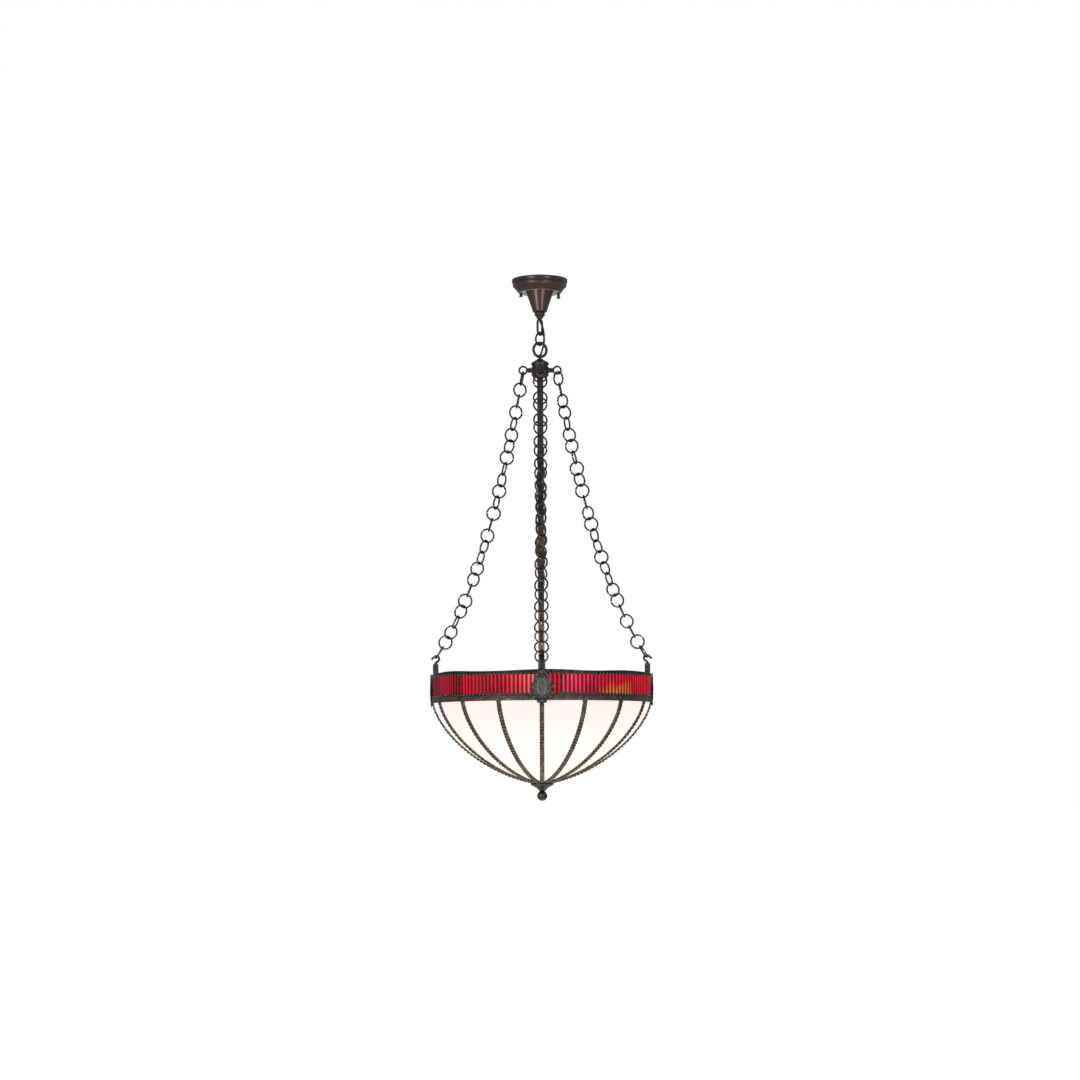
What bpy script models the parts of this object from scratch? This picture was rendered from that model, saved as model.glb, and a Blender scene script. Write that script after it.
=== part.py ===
"""Inverted stained-glass bowl pendant hung on four chains from a ceiling canopy.

The lamp hangs down -Z from the ceiling plane at z = 0, on the axis x = y = 0.
Angles round the axis are counted from the front (-Y) towards the right (+X).
Sizes are in millimetres here and become metres where a mesh is made.
"""

from math import asin, asinh, cos, cosh, degrees, pi, radians, sin, sinh, sqrt

import bmesh
import bpy
from mathutils import Matrix, Vector

MM = 0.001
GAP = 0.3

SIDES = {"front": 0.0, "right": 90.0, "back": 180.0, "left": 270.0}

# Ceiling fixing
CROSSBAR = (104.0, 19.0, 2.5)
CROSSBAR_CENTRE_HOLE = 5.2
STUD_SPACING = 85.8
STUD_RADIUS = 2.0
STUD_TOP = -0.6
THUMB_NUT_BOTTOM = {"left": -39.0, "right": -43.5}
CANOPY_RADIUS = 63.5
CANOPY_LIP = (47.5, -30.2)
CANOPY_FLOOR = -20.5
NUT_TOP = -30.15
SHEET = 1.2
CONE_TOP_RADIUS = 33.2
CONE_BOTTOM_RADIUS = 16.3
CONE_BOTTOM = -74.0
NIPPLE_RADIUS = 5.0
COLLAR_RADIUS = 12.4
COLLAR_BOTTOM = -88.2

# Links between the canopy and the hub: half sizes of the wire's centre line, wire radius, turn about Z
LINK_SLACK = 0.35
LOOP_HALF = (10.5, 17.25)
LOOP_WIRE = 2.5
LOOP_TURN = 60.0
LOOP_TOP = -88.7
OVAL_HALF = (11.0, 14.5)
OVAL_WIRE = 2.0
OVAL_TURN = -30.0
RING_HALF = (16.0, 16.0)
RING_WIRE = 3.0
RING_TURN = 23.0
HUB_EYE_WIRE = 1.7

# Hub
HUB_TOP = -183.6
HUB_BOTTOM = -224.0
HUB_RADIUS = 19.2
HUB_FLANGE_RADIUS = 20.0
ARM_Z = -207.1
ARM_RADIUS = 5.0
ARM_STUD_RADIUS = 2.6
EYE_CENTRE_R = 38.9
EYE_HALF = 8.7
EYE_WIRE = 1.9

# Chains: round links on a hanging curve between the arm eyes and the bowl hooks
LINKS = 26
LINK_PITCH = 26.3
LINK_CENTRELINE = 14.75
LINK_WIRE = 2.1
CHAIN_TOP = (41.7, -226.0)
CHAIN_BOTTOM = (232.9, -851.5)
TWIST_LINKS = 6

# Hooks
HOOK_CENTRE = (240.5, -866.2)
HOOK_BEND = 6.4
HOOK_THICK = 3.0
HOOK_WIDTH = 11.0
POST_WIDTH = 14.0
POST_INNER = 236.5
POST_OUTER = 248.5
POST_TOP = -879.5
POST_FOOT = -918.0

# Band round the rim
RAIL_OUTER = 251.0
RAIL_INNER = 247.0
BAND_TOP = -900.5
TOP_RAIL_HEIGHT = 10.5
BOTTOM_RAIL_TOP = -952.0
BAND_BOTTOM = -966.0
BAND_GLASS = (247.3, 249.2)
BAND_SEAMS = (0.0, 54.0, 90.0, 135.0, 180.0, 225.0, 270.0, 314.5)
SEAM_GAP = 0.5
ROUND_STEPS = 32
CANOPY_STEPS = 24

# Medallions
MEDALLION_BACK = 251.7
MEDALLION_FACE = 253.4
CABOCHON_HALF = (12.7, 20.5)
CABOCHON_Z = -939.4

# Bowl: the outside is a superellipse of revolution
BOWL_RADIUS = 252.0
BOWL_EQUATOR = -960.0
BOWL_DEPTH = 194.0
BOWL_POWER = 1.6
RIBS = 16
RIB_WIDTH = 10.0
RIB_THICK = 3.0
GLASS_THICK = 3.0
BOWL_TOP = -966.8
BOWL_ROWS = 7
RING_OUTER = 30.0
RING_HOLE = 14.0

# Cap, finial and lamp cluster
ROD_RADIUS = 4.0
CAP_RADIUS = 27.0
CAP_BOTTOM = -1168.5
BALL_RADIUS = 11.5
BALL_CENTRE = -1180.5
CLUSTER_RADIUS = 22.0
CLUSTER_TOP = -1095.0
CLUSTER_BOTTOM = -1121.0
SOCKET_ANGLES = (0.0, 120.0, 240.0)
SOCKET_START_R = 30.0
SOCKET_START_Z = -1108.0
SOCKET_RISE = 25.0
SOCKET_RADIUS = 17.0
SOCKET_LENGTH = 44.0

# Supply cord
CORD_RADIUS = 2.6
CORD_STEP = 14.0
CORD_SIDE = 24.0
CORD_CROSSINGS = (8, 12, 16, 20)
CORD_UPPER = (
    (0.4, -0.2, -94.4),
    (2.2, -1.3, -99.0),
    (5.0, -4.0, -106.0),
    (7.3, -8.0, -114.0),
    (8.8, -11.0, -123.0),
    (9.4, -11.8, -134.0),
    (9.4, -12.0, -144.0),
    (8.2, -12.4, -152.0),
    (6.0, -12.7, -160.0),
    (3.6, -12.4, -168.0),
    (1.6, -11.6, -176.0),
    (1.0, -11.2, -183.0),
)
CORD_FROM_HUB = ((0.0, 9.0, -225.2), (0.0, 9.8, -232.0), (0.0, 14.0, -243.0), (0.0, 20.0, -256.0))
CORD_INTO_BOWL = (
    (0.0, 216.0, -874.0),
    (0.0, 222.0, -900.0),
    (0.0, 226.0, -930.0),
    (0.0, 225.0, -960.0),
    (0.0, 215.0, -997.0),
    (0.0, 193.0, -1034.0),
    (0.0, 158.0, -1066.0),
    (0.0, 115.0, -1090.0),
    (0.0, 70.0, -1104.0),
    (0.0, 38.0, -1108.0),
    (0.0, CLUSTER_RADIUS + 0.5, -1108.5),
)


def clear_scene():
    for old in list(bpy.data.objects):
        bpy.data.objects.remove(old)


def material(name, colour, roughness, metallic):
    made = bpy.data.materials.new(name)
    made.use_nodes = True
    shader = made.node_tree.nodes["Principled BSDF"]
    shader.inputs["Base Color"].default_value = (*colour, 1.0)
    shader.inputs["Roughness"].default_value = roughness
    shader.inputs["Metallic"].default_value = metallic
    return made


# ---------------------------------------------------------------- mesh helpers


def mesh_from(name, verts, faces):
    """A mesh with outward faces, from points in millimetres."""
    mesh = bpy.data.meshes.new(name)
    mesh.from_pydata([[c * MM for c in v] for v in verts], [], faces)
    bm = bmesh.new()
    bm.from_mesh(mesh)
    bmesh.ops.recalc_face_normals(bm, faces=bm.faces)
    bm.to_mesh(mesh)
    bm.free()
    return mesh


def turned(outline, steps, name="turned"):
    """Turn an outline of (radius, height) round Z: closed on itself, or open from axis to axis."""
    verts = []
    rows = []
    for r, z in outline:
        if r == 0:
            rows.append([len(verts)] * steps)
            verts.append((0.0, 0.0, z))
            continue
        rows.append(list(range(len(verts), len(verts) + steps)))
        verts += [(r * cos(2 * pi * i / steps), r * sin(2 * pi * i / steps), z) for i in range(steps)]
    pairs = list(zip(rows, rows[1:]))
    if outline[0][0] != 0:
        pairs.append((rows[-1], rows[0]))
    faces = []
    for upper, lower in pairs:
        for i in range(steps):
            j = (i + 1) % steps
            corners = (upper[i], upper[j], lower[j], lower[i])
            faces.append(list(dict.fromkeys(corners)))
    return mesh_from(name, verts, faces)


def wire_oval(centre, across, up, half, wire, steps, sides, flat_ends=False, name="wire"):
    """A closed wire: an oval centre line in the plane of two unit vectors, with a round section."""
    phase, grow = (0.5, 1 / cos(pi / steps)) if flat_ends else (0.0, 1.0)
    across, up, centre = Vector(across), Vector(up), Vector(centre)
    out_of_plane = across.cross(up)
    verts = []
    for i in range(steps):
        a = 2 * pi * (i + phase) / steps
        middle = centre + (across * half[0] * sin(a) + up * half[1] * cos(a)) * grow
        outward = (across * half[1] * sin(a) + up * half[0] * cos(a)).normalized()
        for j in range(sides):
            s = 2 * pi * j / sides
            verts.append(middle + (outward * cos(s) + out_of_plane * sin(s)) * wire)
    faces = []
    for i in range(steps):
        n = (i + 1) % steps
        for j in range(sides):
            k = (j + 1) % sides
            faces.append((i * sides + j, n * sides + j, n * sides + k, i * sides + k))
    return mesh_from(name, verts, faces)


def plate(outline, low, high, to_point, name="plate"):
    """An outline of pairs, extruded from low to high; to_point turns (a, b, depth) into a point."""
    count = len(outline)
    verts = [to_point(a, b, low) for a, b in outline] + [to_point(a, b, high) for a, b in outline]
    faces = [list(range(count)), list(range(count, 2 * count))]
    faces += [(i, (i + 1) % count, count + (i + 1) % count, count + i) for i in range(count)]
    return mesh_from(name, verts, faces)


def joined(mesh, others, name):
    """Boolean union of closed meshes that overlap."""
    base = bpy.data.objects.new(name, mesh)
    bpy.context.collection.objects.link(base)
    helpers = [base]
    for other in others:
        helper = bpy.data.objects.new(name + "_helper", other)
        bpy.context.collection.objects.link(helper)
        helpers.append(helper)
        union = base.modifiers.new("Union", "BOOLEAN")
        union.operation = "UNION"
        union.object = helper
    view = bpy.context.evaluated_depsgraph_get()
    made = bpy.data.meshes.new_from_object(base.evaluated_get(view))
    for helper in helpers:
        bpy.data.objects.remove(helper)
    made.name = name
    return made


def all_in_one(meshes, name):
    """Closed meshes that stay clear of each other, as one mesh."""
    bm = bmesh.new()
    for mesh in meshes:
        bm.from_mesh(mesh)
    made = bpy.data.meshes.new(name)
    bm.to_mesh(made)
    bm.free()
    return made


def turn_to(angle):
    """Rotation about Z that takes the local +X side to the side at this angle from the front."""
    return radians(angle - 90.0)


def radial(angle, r, z):
    return (r * sin(radians(angle)), -r * cos(radians(angle)), z)


# ---------------------------------------------------------------- pivots and placing

LOOP_Z = LOOP_TOP - LOOP_WIRE - LOOP_HALF[1]
LOOP_PIVOT = LOOP_Z - LOOP_HALF[1]
OVAL_Z = LOOP_PIVOT + LOOP_WIRE + LINK_SLACK + OVAL_WIRE - OVAL_HALF[1]
OVAL_PIVOT = OVAL_Z - OVAL_HALF[1]
RING_Z = OVAL_PIVOT + OVAL_WIRE + LINK_SLACK + RING_WIRE - RING_HALF[1]
RING_PIVOT = RING_Z - RING_HALF[1]
EYE_BOTTOM = ARM_Z - EYE_HALF

PIVOTS = {
    "ceiling": (None, (0.0, 0.0, 0.0)),
    "link_pivot": ("ceiling", (0.0, 0.0, LOOP_PIVOT)),
    "ring_pivot": ("link_pivot", (0.0, 0.0, OVAL_PIVOT)),
    "hub_pivot": ("ring_pivot", (0.0, 0.0, RING_PIVOT)),
    "bowl_pivot": ("hub_pivot", (0.0, 0.0, HUB_BOTTOM)),
}


def make_pivots():
    for name, (parent, place) in PIVOTS.items():
        empty = bpy.data.objects.new(name, None)
        bpy.context.collection.objects.link(empty)
        if parent:
            empty.parent = bpy.data.objects[parent]
            place = Vector(place) - Vector(PIVOTS[parent][1])
        empty.location = Vector(place) * MM


def add(name, mesh, finish, pivot, origin=(0.0, 0.0, 0.0), turn=(0.0, 0.0, 0.0), local=False):
    """Place a mesh as a named object under a pivot.

    Without local, the mesh is in world coordinates and its origin is moved to origin. With local, the
    mesh is already about its own origin, and turn and origin place it.
    """
    if not local and any(origin):
        mesh.transform(Matrix.Translation(-Vector(origin) * MM))
    made = bpy.data.objects.new(name, mesh)
    bpy.context.collection.objects.link(made)
    if finish.name not in [m.name for m in mesh.materials if m]:
        mesh.materials.clear()
        mesh.materials.append(finish)
    mesh.shade_smooth()
    mesh.set_sharp_from_angle(angle=radians(38))
    made.parent = bpy.data.objects[pivot]
    made.location = (Vector(origin) - Vector(PIVOTS[pivot][1])) * MM
    made.rotation_euler = turn
    return made


def cutter(name, mesh, pivot="ceiling"):
    made = bpy.data.objects.new(name, mesh)
    bpy.context.collection.objects.link(made)
    made.hide_render = True
    made.display_type = "WIRE"
    made.parent = bpy.data.objects[pivot]
    made.location = -Vector(PIVOTS[pivot][1]) * MM
    return made


def cut(target, tool):
    difference = target.modifiers.new("Cut", "BOOLEAN")
    difference.operation = "DIFFERENCE"
    difference.object = tool


def upright_pin(x, y, radius, low, high, steps=12):
    mesh = turned([(0, high), (radius, high), (radius, low), (0, low)], steps, "pin")
    mesh.transform(Matrix.Translation(Vector((x, y, 0.0)) * MM))
    return mesh


# ---------------------------------------------------------------- ceiling fixing


def crossbar(finish):
    length, width, thick = CROSSBAR
    x, y = length / 2, width / 2
    corners = [(-x, -y), (x, -y), (x, y), (-x, y)]
    bar = add("crossbar", plate(corners, -thick, 0.0, lambda a, b, d: (a, b, d)), finish, "ceiling")
    holes = {"centre": (0.0, CROSSBAR_CENTRE_HOLE)}
    holes["left"] = (-STUD_SPACING / 2, STUD_RADIUS + GAP)
    holes["right"] = (STUD_SPACING / 2, STUD_RADIUS + GAP)
    for side, (x, radius) in holes.items():
        cut(bar, cutter("crossbar_hole_" + side, upright_pin(x, 0.0, radius, -thick - 2, 2)))


def canopy(finish):
    floor = CANOPY_FLOOR
    inside = floor + SHEET
    hole = NIPPLE_RADIUS + 0.4
    lip, lip_z = CANOPY_LIP
    outline = [
        (CANOPY_RADIUS - SHEET - 0.3, 0.0),
        (CANOPY_RADIUS, 0.0),
        (CANOPY_RADIUS, -8.0),
        (CANOPY_RADIUS - 2.0, -9.5),
        (CANOPY_RADIUS - 2.0, -16.5),
        (CANOPY_RADIUS - 3.5, -18.0),
        (lip + 3.0, lip_z + 2.0),
        (lip, lip_z),
        (lip - 2.0, lip_z + 0.6),
        (CONE_TOP_RADIUS + 2.5, floor),
        (hole, floor),
        (hole, inside),
        (CONE_TOP_RADIUS + 2.2, inside),
        (lip - 0.5, lip_z + 2.2),
        (lip + 2.0, lip_z + 2.8),
        (CANOPY_RADIUS - 4.9, -17.6),
        (CANOPY_RADIUS - 3.3, -16.0),
        (CANOPY_RADIUS - 3.3, -9.0),
        (CANOPY_RADIUS - SHEET - 0.3, -7.3),
    ]
    shell = add("canopy", turned(outline, CANOPY_STEPS), finish, "ceiling")
    for side, x in (("left", -STUD_SPACING / 2), ("right", STUD_SPACING / 2)):
        hole_pin = upright_pin(x, 0.0, STUD_RADIUS + 0.4, lip_z - 3, -15.0)
        cut(shell, cutter("canopy_hole_" + side, hole_pin))


def canopy_cone(finish):
    top = CANOPY_FLOOR - GAP
    bottom = CONE_BOTTOM
    hole = NIPPLE_RADIUS + 0.4
    outline = [
        (CONE_TOP_RADIUS - SHEET, top),
        (CONE_TOP_RADIUS, top),
        (CONE_BOTTOM_RADIUS, bottom + 1.5),
        (CONE_BOTTOM_RADIUS - 2.0, bottom),
        (hole, bottom),
        (hole, bottom + SHEET),
        (CONE_BOTTOM_RADIUS - 2.7, bottom + SHEET),
        (CONE_BOTTOM_RADIUS - SHEET, bottom + 2.4),
    ]
    add("canopy_cone", turned(outline, CANOPY_STEPS), finish, "ceiling")


def screw_collar(finish):
    bore = NIPPLE_RADIUS + 0.4
    top = CONE_BOTTOM - GAP - 0.1
    outline = [
        (bore, top),
        (COLLAR_RADIUS - 3.0, top),
        (COLLAR_RADIUS - 3.0, top - 1.2),
        (COLLAR_RADIUS, top - 1.6),
        (COLLAR_RADIUS, -82.5),
        (7.6, COLLAR_BOTTOM),
        (bore, COLLAR_BOTTOM),
    ]
    add("screw_collar", turned(outline, 16), finish, "ceiling")


def flat_direction(turn):
    return (cos(radians(turn)), sin(radians(turn)), 0.0)


def nipple_loop(finish):
    seat = CANOPY_FLOOR + SHEET + GAP
    neck = NIPPLE_RADIUS
    end = LOOP_TOP - 1.8
    rod = [(0, -9.0), (neck, -9.0), (neck, seat + 4.7), (9.0, seat + 4.7), (9.0, seat), (neck, seat)]
    rod += [(neck, end), (0, end)]
    loop = wire_oval((0, 0, LOOP_Z), flat_direction(LOOP_TURN), (0, 0, 1), LOOP_HALF, LOOP_WIRE, 16, 6)
    add("nipple_loop", joined(turned(rod, 12), [loop], "nipple_loop"), finish, "ceiling")


def studs_and_nuts(stud_finish, nut_finish):
    for side, bottom in THUMB_NUT_BOTTOM.items():
        x = STUD_SPACING / 2 * (1 if side == "right" else -1)
        stud = upright_pin(x, 0.0, STUD_RADIUS, bottom + 3.0, STUD_TOP)
        add("canopy_stud_" + side, stud, stud_finish, "ceiling")
        bore = STUD_RADIUS + GAP
        outline = [
            (0, bottom),
            (5.0, bottom),
            (5.0, bottom + 0.8),
            (2.9, bottom + 3.2),
            (3.4, bottom + 4.2),
            (3.4, NUT_TOP),
            (bore, NUT_TOP),
            (bore, bottom + 2.6),
            (0, bottom + 2.6),
        ]
        add("thumb_nut_" + side, turned(outline, 14), nut_finish, "ceiling", (x, 0.0, bottom), local=True)
        bpy.data.objects["thumb_nut_" + side].data.transform(Matrix.Translation((0, 0, -bottom * MM)))


# ---------------------------------------------------------------- suspension


def oval_link(finish):
    mesh = wire_oval((0, 0, OVAL_Z), flat_direction(OVAL_TURN), (0, 0, 1), OVAL_HALF, OVAL_WIRE, 16, 6)
    add("oval_link", mesh, finish, "link_pivot", (0, 0, LOOP_PIVOT))


def hanging_ring(finish):
    mesh = wire_oval((0, 0, RING_Z), flat_direction(RING_TURN), (0, 0, 1), RING_HALF, RING_WIRE, 20, 6)
    add("hanging_ring", mesh, finish, "ring_pivot", (0, 0, OVAL_PIVOT))


def hub_eye(finish):
    half = RING_WIRE + LINK_SLACK + HUB_EYE_WIRE
    across = flat_direction(RING_TURN + 90)
    eye = wire_oval((0, 0, RING_PIVOT), across, (0, 0, 1), (half, half), HUB_EYE_WIRE, 12, 6)
    stem_top = RING_PIVOT - half - 0.6
    stem = turned([(0, stem_top), (2.2, stem_top), (2.2, HUB_TOP - 7.5), (0, HUB_TOP - 7.5)], 10)
    add("hub_eye", joined(eye, [stem], "hub_eye"), finish, "hub_pivot", (0, 0, RING_PIVOT))


def hub_body(finish):
    top, bottom = HUB_TOP, HUB_BOTTOM
    bore = 2.6
    outline = [
        (0, top - 8.5),
        (bore, top - 8.5),
        (bore, top),
        (5.5, top),
        (11.8, top - 4.9),
        (12.5, top - 6.2),
        (HUB_FLANGE_RADIUS, top - 7.0),
        (HUB_FLANGE_RADIUS, top - 10.5),
        (HUB_RADIUS, top - 12.5),
        (HUB_RADIUS, bottom + 8.0),
        (HUB_RADIUS + 0.5, bottom + 7.0),
        (HUB_RADIUS + 0.5, bottom + 4.0),
        (14.8, bottom + 3.4),
        (14.8, bottom),
        (0, bottom),
    ]
    hub = add("hub_body", turned(outline, 20), finish, "hub_pivot", (0, 0, RING_PIVOT))
    for side, angle in SIDES.items():
        bore_pin = turned([(0, 30.0), (2.9, 30.0), (2.9, 13.5), (0, 13.5)], 10)
        bore_pin.transform(Matrix.Rotation(pi / 2, 4, "Y"))
        bore_pin.transform(Matrix.Rotation(turn_to(angle), 4, "Z"))
        bore_pin.transform(Matrix.Translation((0, 0, ARM_Z * MM)))
        cut(hub, cutter("hub_bore_" + side, bore_pin))


def arm_eyes(finish):
    profile = [
        (0, 14.0),
        (ARM_STUD_RADIUS, 14.0),
        (ARM_STUD_RADIUS, HUB_RADIUS + 0.5),
        (ARM_RADIUS, HUB_RADIUS + 0.5),
        (ARM_RADIUS, 26.5),
        (ARM_RADIUS - 1.2, 30.0),
        (0, 30.0),
    ]
    rod = turned(profile, 12)
    rod.transform(Matrix.Rotation(pi / 2, 4, "Y"))
    ring = wire_oval((EYE_CENTRE_R, 0, 0), (1, 0, 0), (0, 0, 1), (EYE_HALF, EYE_HALF), EYE_WIRE, 12, 6)
    mesh = joined(rod, [ring], "arm_eye")
    for side, angle in SIDES.items():
        add("arm_eye_" + side, mesh, finish, "hub_pivot", (0, 0, ARM_Z), (0, 0, turn_to(angle)), local=True)


# ---------------------------------------------------------------- chains


def hanging_curve():
    """A catenary of the chain's length between its first and last link centres.

    Returns a function from arc length to (radius, height, tangent), the tangent pointing down the chain.
    """
    across = CHAIN_BOTTOM[0] - CHAIN_TOP[0]
    drop = CHAIN_TOP[1] - CHAIN_BOTTOM[1]
    length = (LINKS - 1) * LINK_PITCH
    target = sqrt(length**2 - drop**2) / across
    low, high = 1e-3, 5.0
    for _ in range(60):
        middle = (low + high) / 2
        if sinh(middle) / middle < target:
            low = middle
        else:
            high = middle
    size = across / (2 * low)
    lean = asinh(drop / (2 * size * sinh(low)))
    start = lean + low

    def at(s):
        u = asinh(sinh(start) - s / size)
        r = CHAIN_TOP[0] + size * (start - u)
        z = CHAIN_TOP[1] - size * (cosh(start) - cosh(u))
        slope = Vector((1.0, 0.0, -sinh(u))).normalized()
        return Vector((r, 0.0, z)), slope

    return at


def link_twist(index):
    """Angle of a link's plane about the chain; the first links take up a quarter turn between them."""
    slip = 90.0 / TWIST_LINKS
    return radians(90.0 * index + slip * min(index, TWIST_LINKS))


def chains(finish):
    at = hanging_curve()
    rows = ([], [])
    for index in range(LINKS):
        centre, along = at(index * LINK_PITCH)
        across = Vector((0.0, 1.0, 0.0))
        inward = across.cross(along)
        side = across * cos(link_twist(index)) + inward * sin(link_twist(index))
        half = (LINK_CENTRELINE, LINK_CENTRELINE)
        link = wire_oval(centre, side, along, half, LINK_WIRE, 8, 4, flat_ends=True)
        rows[index % 2].append(link)
    mesh = joined(all_in_one(rows[0], "even_links"), [all_in_one(rows[1], "odd_links")], "chain")
    pivot = Vector((EYE_CENTRE_R, 0.0, EYE_BOTTOM))
    mesh.transform(Matrix.Translation(-pivot * MM))
    for side, angle in SIDES.items():
        place = radial(angle, EYE_CENTRE_R, EYE_BOTTOM)
        add("chain_" + side, mesh, finish, "hub_pivot", place, (0, 0, turn_to(angle)), local=True)


# ---------------------------------------------------------------- hooks


def swept_strip(path, thick, width):
    """A flat strip that follows a path in the radial plane."""
    verts = []
    count = len(path)
    for i, point in enumerate(path):
        ahead = path[min(i + 1, count - 1)]
        behind = path[max(i - 1, 0)]
        along = (Vector(ahead) - Vector(behind)).normalized()
        beside = Vector((-along.y, along.x)) * thick / 2
        for sign, y in ((1, -1), (1, 1), (-1, 1), (-1, -1)):
            verts.append((point[0] + sign * beside.x, y * width / 2, point[1] + sign * beside.y))
    faces = [(0, 1, 2, 3), tuple(range(4 * count - 4, 4 * count))]
    for i in range(count - 1):
        for j in range(4):
            k = (j + 1) % 4
            faces.append((4 * i + j, 4 * i + k, 4 * i + 4 + k, 4 * i + 4 + j))
    return mesh_from("strip", verts, faces)


def hook_path():
    """From inside the post, back towards the axis, over the crown and out to the tip."""
    x, z = HOOK_CENTRE
    path = [(247.0, POST_TOP - 4.5), (247.0, POST_TOP + 0.3)]
    path += [(245.3, POST_TOP + 3.2), (241.5, POST_TOP + 5.6)]
    for step in range(9):
        a = radians(240 - step * 190 / 8)
        path.append((x + HOOK_BEND * cos(a), z + HOOK_BEND * sin(a)))
    end_x, end_z = path[-1]
    path += [(end_x + 4.0, end_z - 3.3), (end_x + 7.7, end_z - 6.5)]
    return path


def hooks(finish):
    lug = RAIL_INNER - 3 * GAP - 0.1
    rim = BAND_TOP + GAP
    outline = [
        (POST_INNER, POST_FOOT),
        (lug, POST_FOOT),
        (lug, rim),
        (POST_OUTER, rim),
        (POST_OUTER, POST_TOP),
        (POST_INNER + 1.5, POST_TOP),
    ]
    half = POST_WIDTH / 2
    post = plate(outline, -half, half, lambda a, b, d: (a, d, b))
    strip = swept_strip(hook_path(), HOOK_THICK, HOOK_WIDTH)
    mesh = joined(post, [strip], "hook")
    for side, angle in SIDES.items():
        add("hook_" + side, mesh, finish, "bowl_pivot", (0, 0, 0), (0, 0, turn_to(angle)), local=True)


# ---------------------------------------------------------------- band


def rail(name, top, bottom, finish):
    outline = [(RAIL_INNER, top), (RAIL_OUTER, top), (RAIL_OUTER, bottom), (RAIL_INNER, bottom)]
    add(name, turned(outline, ROUND_STEPS), finish, "bowl_pivot", (0, 0, HUB_BOTTOM))


def curved_slab(rows, angles, name):
    """A thick curved sheet: rows of (inner point, outer point) in (radius, height), at a list of angles."""
    verts = []
    for inner, outer in rows:
        for angle in angles:
            verts += [radial(angle, *inner), radial(angle, *outer)]
    across = len(angles)

    def vert(i, j, side):
        return 2 * (i * across + j) + side

    faces = []
    for i in range(len(rows) - 1):
        for j in range(across - 1):
            for side in (0, 1):
                upper = (vert(i, j, side), vert(i, j + 1, side))
                lower = (vert(i + 1, j + 1, side), vert(i + 1, j, side))
                faces.append(upper + lower)
    for j in range(across - 1):
        for i in (0, len(rows) - 1):
            faces.append((vert(i, j, 0), vert(i, j + 1, 0), vert(i, j + 1, 1), vert(i, j, 1)))
    for i in range(len(rows) - 1):
        for j in (0, across - 1):
            faces.append((vert(i, j, 0), vert(i + 1, j, 0), vert(i + 1, j, 1), vert(i, j, 1)))
    return mesh_from(name, verts, faces)


def band_glass(finish):
    inner, outer = BAND_GLASS
    top = BAND_TOP - TOP_RAIL_HEIGHT - GAP
    bottom = BOTTOM_RAIL_TOP + GAP
    rows = [((inner, top), (outer, top)), ((inner, bottom), (outer, bottom))]
    trim = degrees(SEAM_GAP / outer)
    ends = BAND_SEAMS[1:] + (BAND_SEAMS[0] + 360.0,)
    for number, (start, end) in enumerate(zip(BAND_SEAMS, ends), 1):
        count = max(2, round((end - start) / 11.25))
        span = end - start - 2 * trim
        angles = [start + trim + span * i / count for i in range(count + 1)]
        mesh = curved_slab(rows, angles, "band_glass")
        add(f"band_glass_{number}", mesh, finish, "bowl_pivot", (0, 0, HUB_BOTTOM))


def medallions(finish):
    """Pointed arch, side curls, base and drop, with the oval stone on its face."""
    right_side = [
        (0.0, -900.8),
        (6.0, -905.5),
        (13.5, -913.0),
        (18.7, -922.5),
        (22.0, -933.0),
        (27.0, -938.0),
        (26.0, -944.0),
        (22.5, -948.0),
        (25.5, -958.0),
        (24.0, -965.7),
        (11.7, -966.8),
        (11.0, -972.0),
        (4.5, -977.5),
    ]
    outline = right_side + [(-a, z) for a, z in reversed(right_side[1:])]
    body = plate(outline, MEDALLION_BACK, MEDALLION_FACE, lambda a, b, d: (d, a, b))
    rows = [(1.0, -1.2), (1.0, 0.8), (0.86, 1.9), (0.55, 2.5), (0.0, 2.7)]
    outline = [(0, rows[0][1])] + rows
    stone = turned(outline, 14)
    turn = Matrix.Rotation(pi / 2, 4, "Y")
    stone.transform(turn)
    for vert in stone.vertices:
        vert.co.y *= CABOCHON_HALF[0]
        vert.co.z = vert.co.z * CABOCHON_HALF[1] + CABOCHON_Z * MM
        vert.co.x += MEDALLION_FACE * MM
    mesh = joined(body, [stone], "medallion")
    for side, angle in SIDES.items():
        add("medallion_" + side, mesh, finish, "bowl_pivot", (0, 0, 0), (0, 0, turn_to(angle)), local=True)


# ---------------------------------------------------------------- bowl


def bowl_radius(z):
    down = min(max((BOWL_EQUATOR - z) / BOWL_DEPTH, 0.0), 1.0)
    return BOWL_RADIUS * (1 - down**BOWL_POWER) ** (1 / BOWL_POWER)


def bowl_height(r):
    return BOWL_EQUATOR - BOWL_DEPTH * (1 - (r / BOWL_RADIUS) ** BOWL_POWER) ** (1 / BOWL_POWER)


def bowl_outline():
    """Rows down the bowl from its top edge to the ring at the bottom, evenly spread along the curve."""
    fine = []
    for i in range(400):
        a = i / 399 * pi / 2
        r = BOWL_RADIUS * cos(a) ** (2 / BOWL_POWER)
        z = BOWL_EQUATOR - BOWL_DEPTH * sin(a) ** (2 / BOWL_POWER)
        if z <= BOWL_TOP and r >= RING_OUTER:
            fine.append((r, z))
    fine.insert(0, (bowl_radius(BOWL_TOP), BOWL_TOP))
    fine.append((RING_OUTER, bowl_height(RING_OUTER)))
    run = [0.0]
    for before, after in zip(fine, fine[1:]):
        run.append(run[-1] + sqrt((after[0] - before[0]) ** 2 + (after[1] - before[1]) ** 2))
    rows = []
    for i in range(BOWL_ROWS + 1):
        wanted = run[-1] * i / BOWL_ROWS
        k = min(max(1, sum(1 for x in run if x < wanted)), len(run) - 1)
        part = (wanted - run[k - 1]) / (run[k] - run[k - 1])
        before, after = fine[k - 1], fine[k]
        rows.append((before[0] + (after[0] - before[0]) * part, before[1] + (after[1] - before[1]) * part))
    return rows


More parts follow.
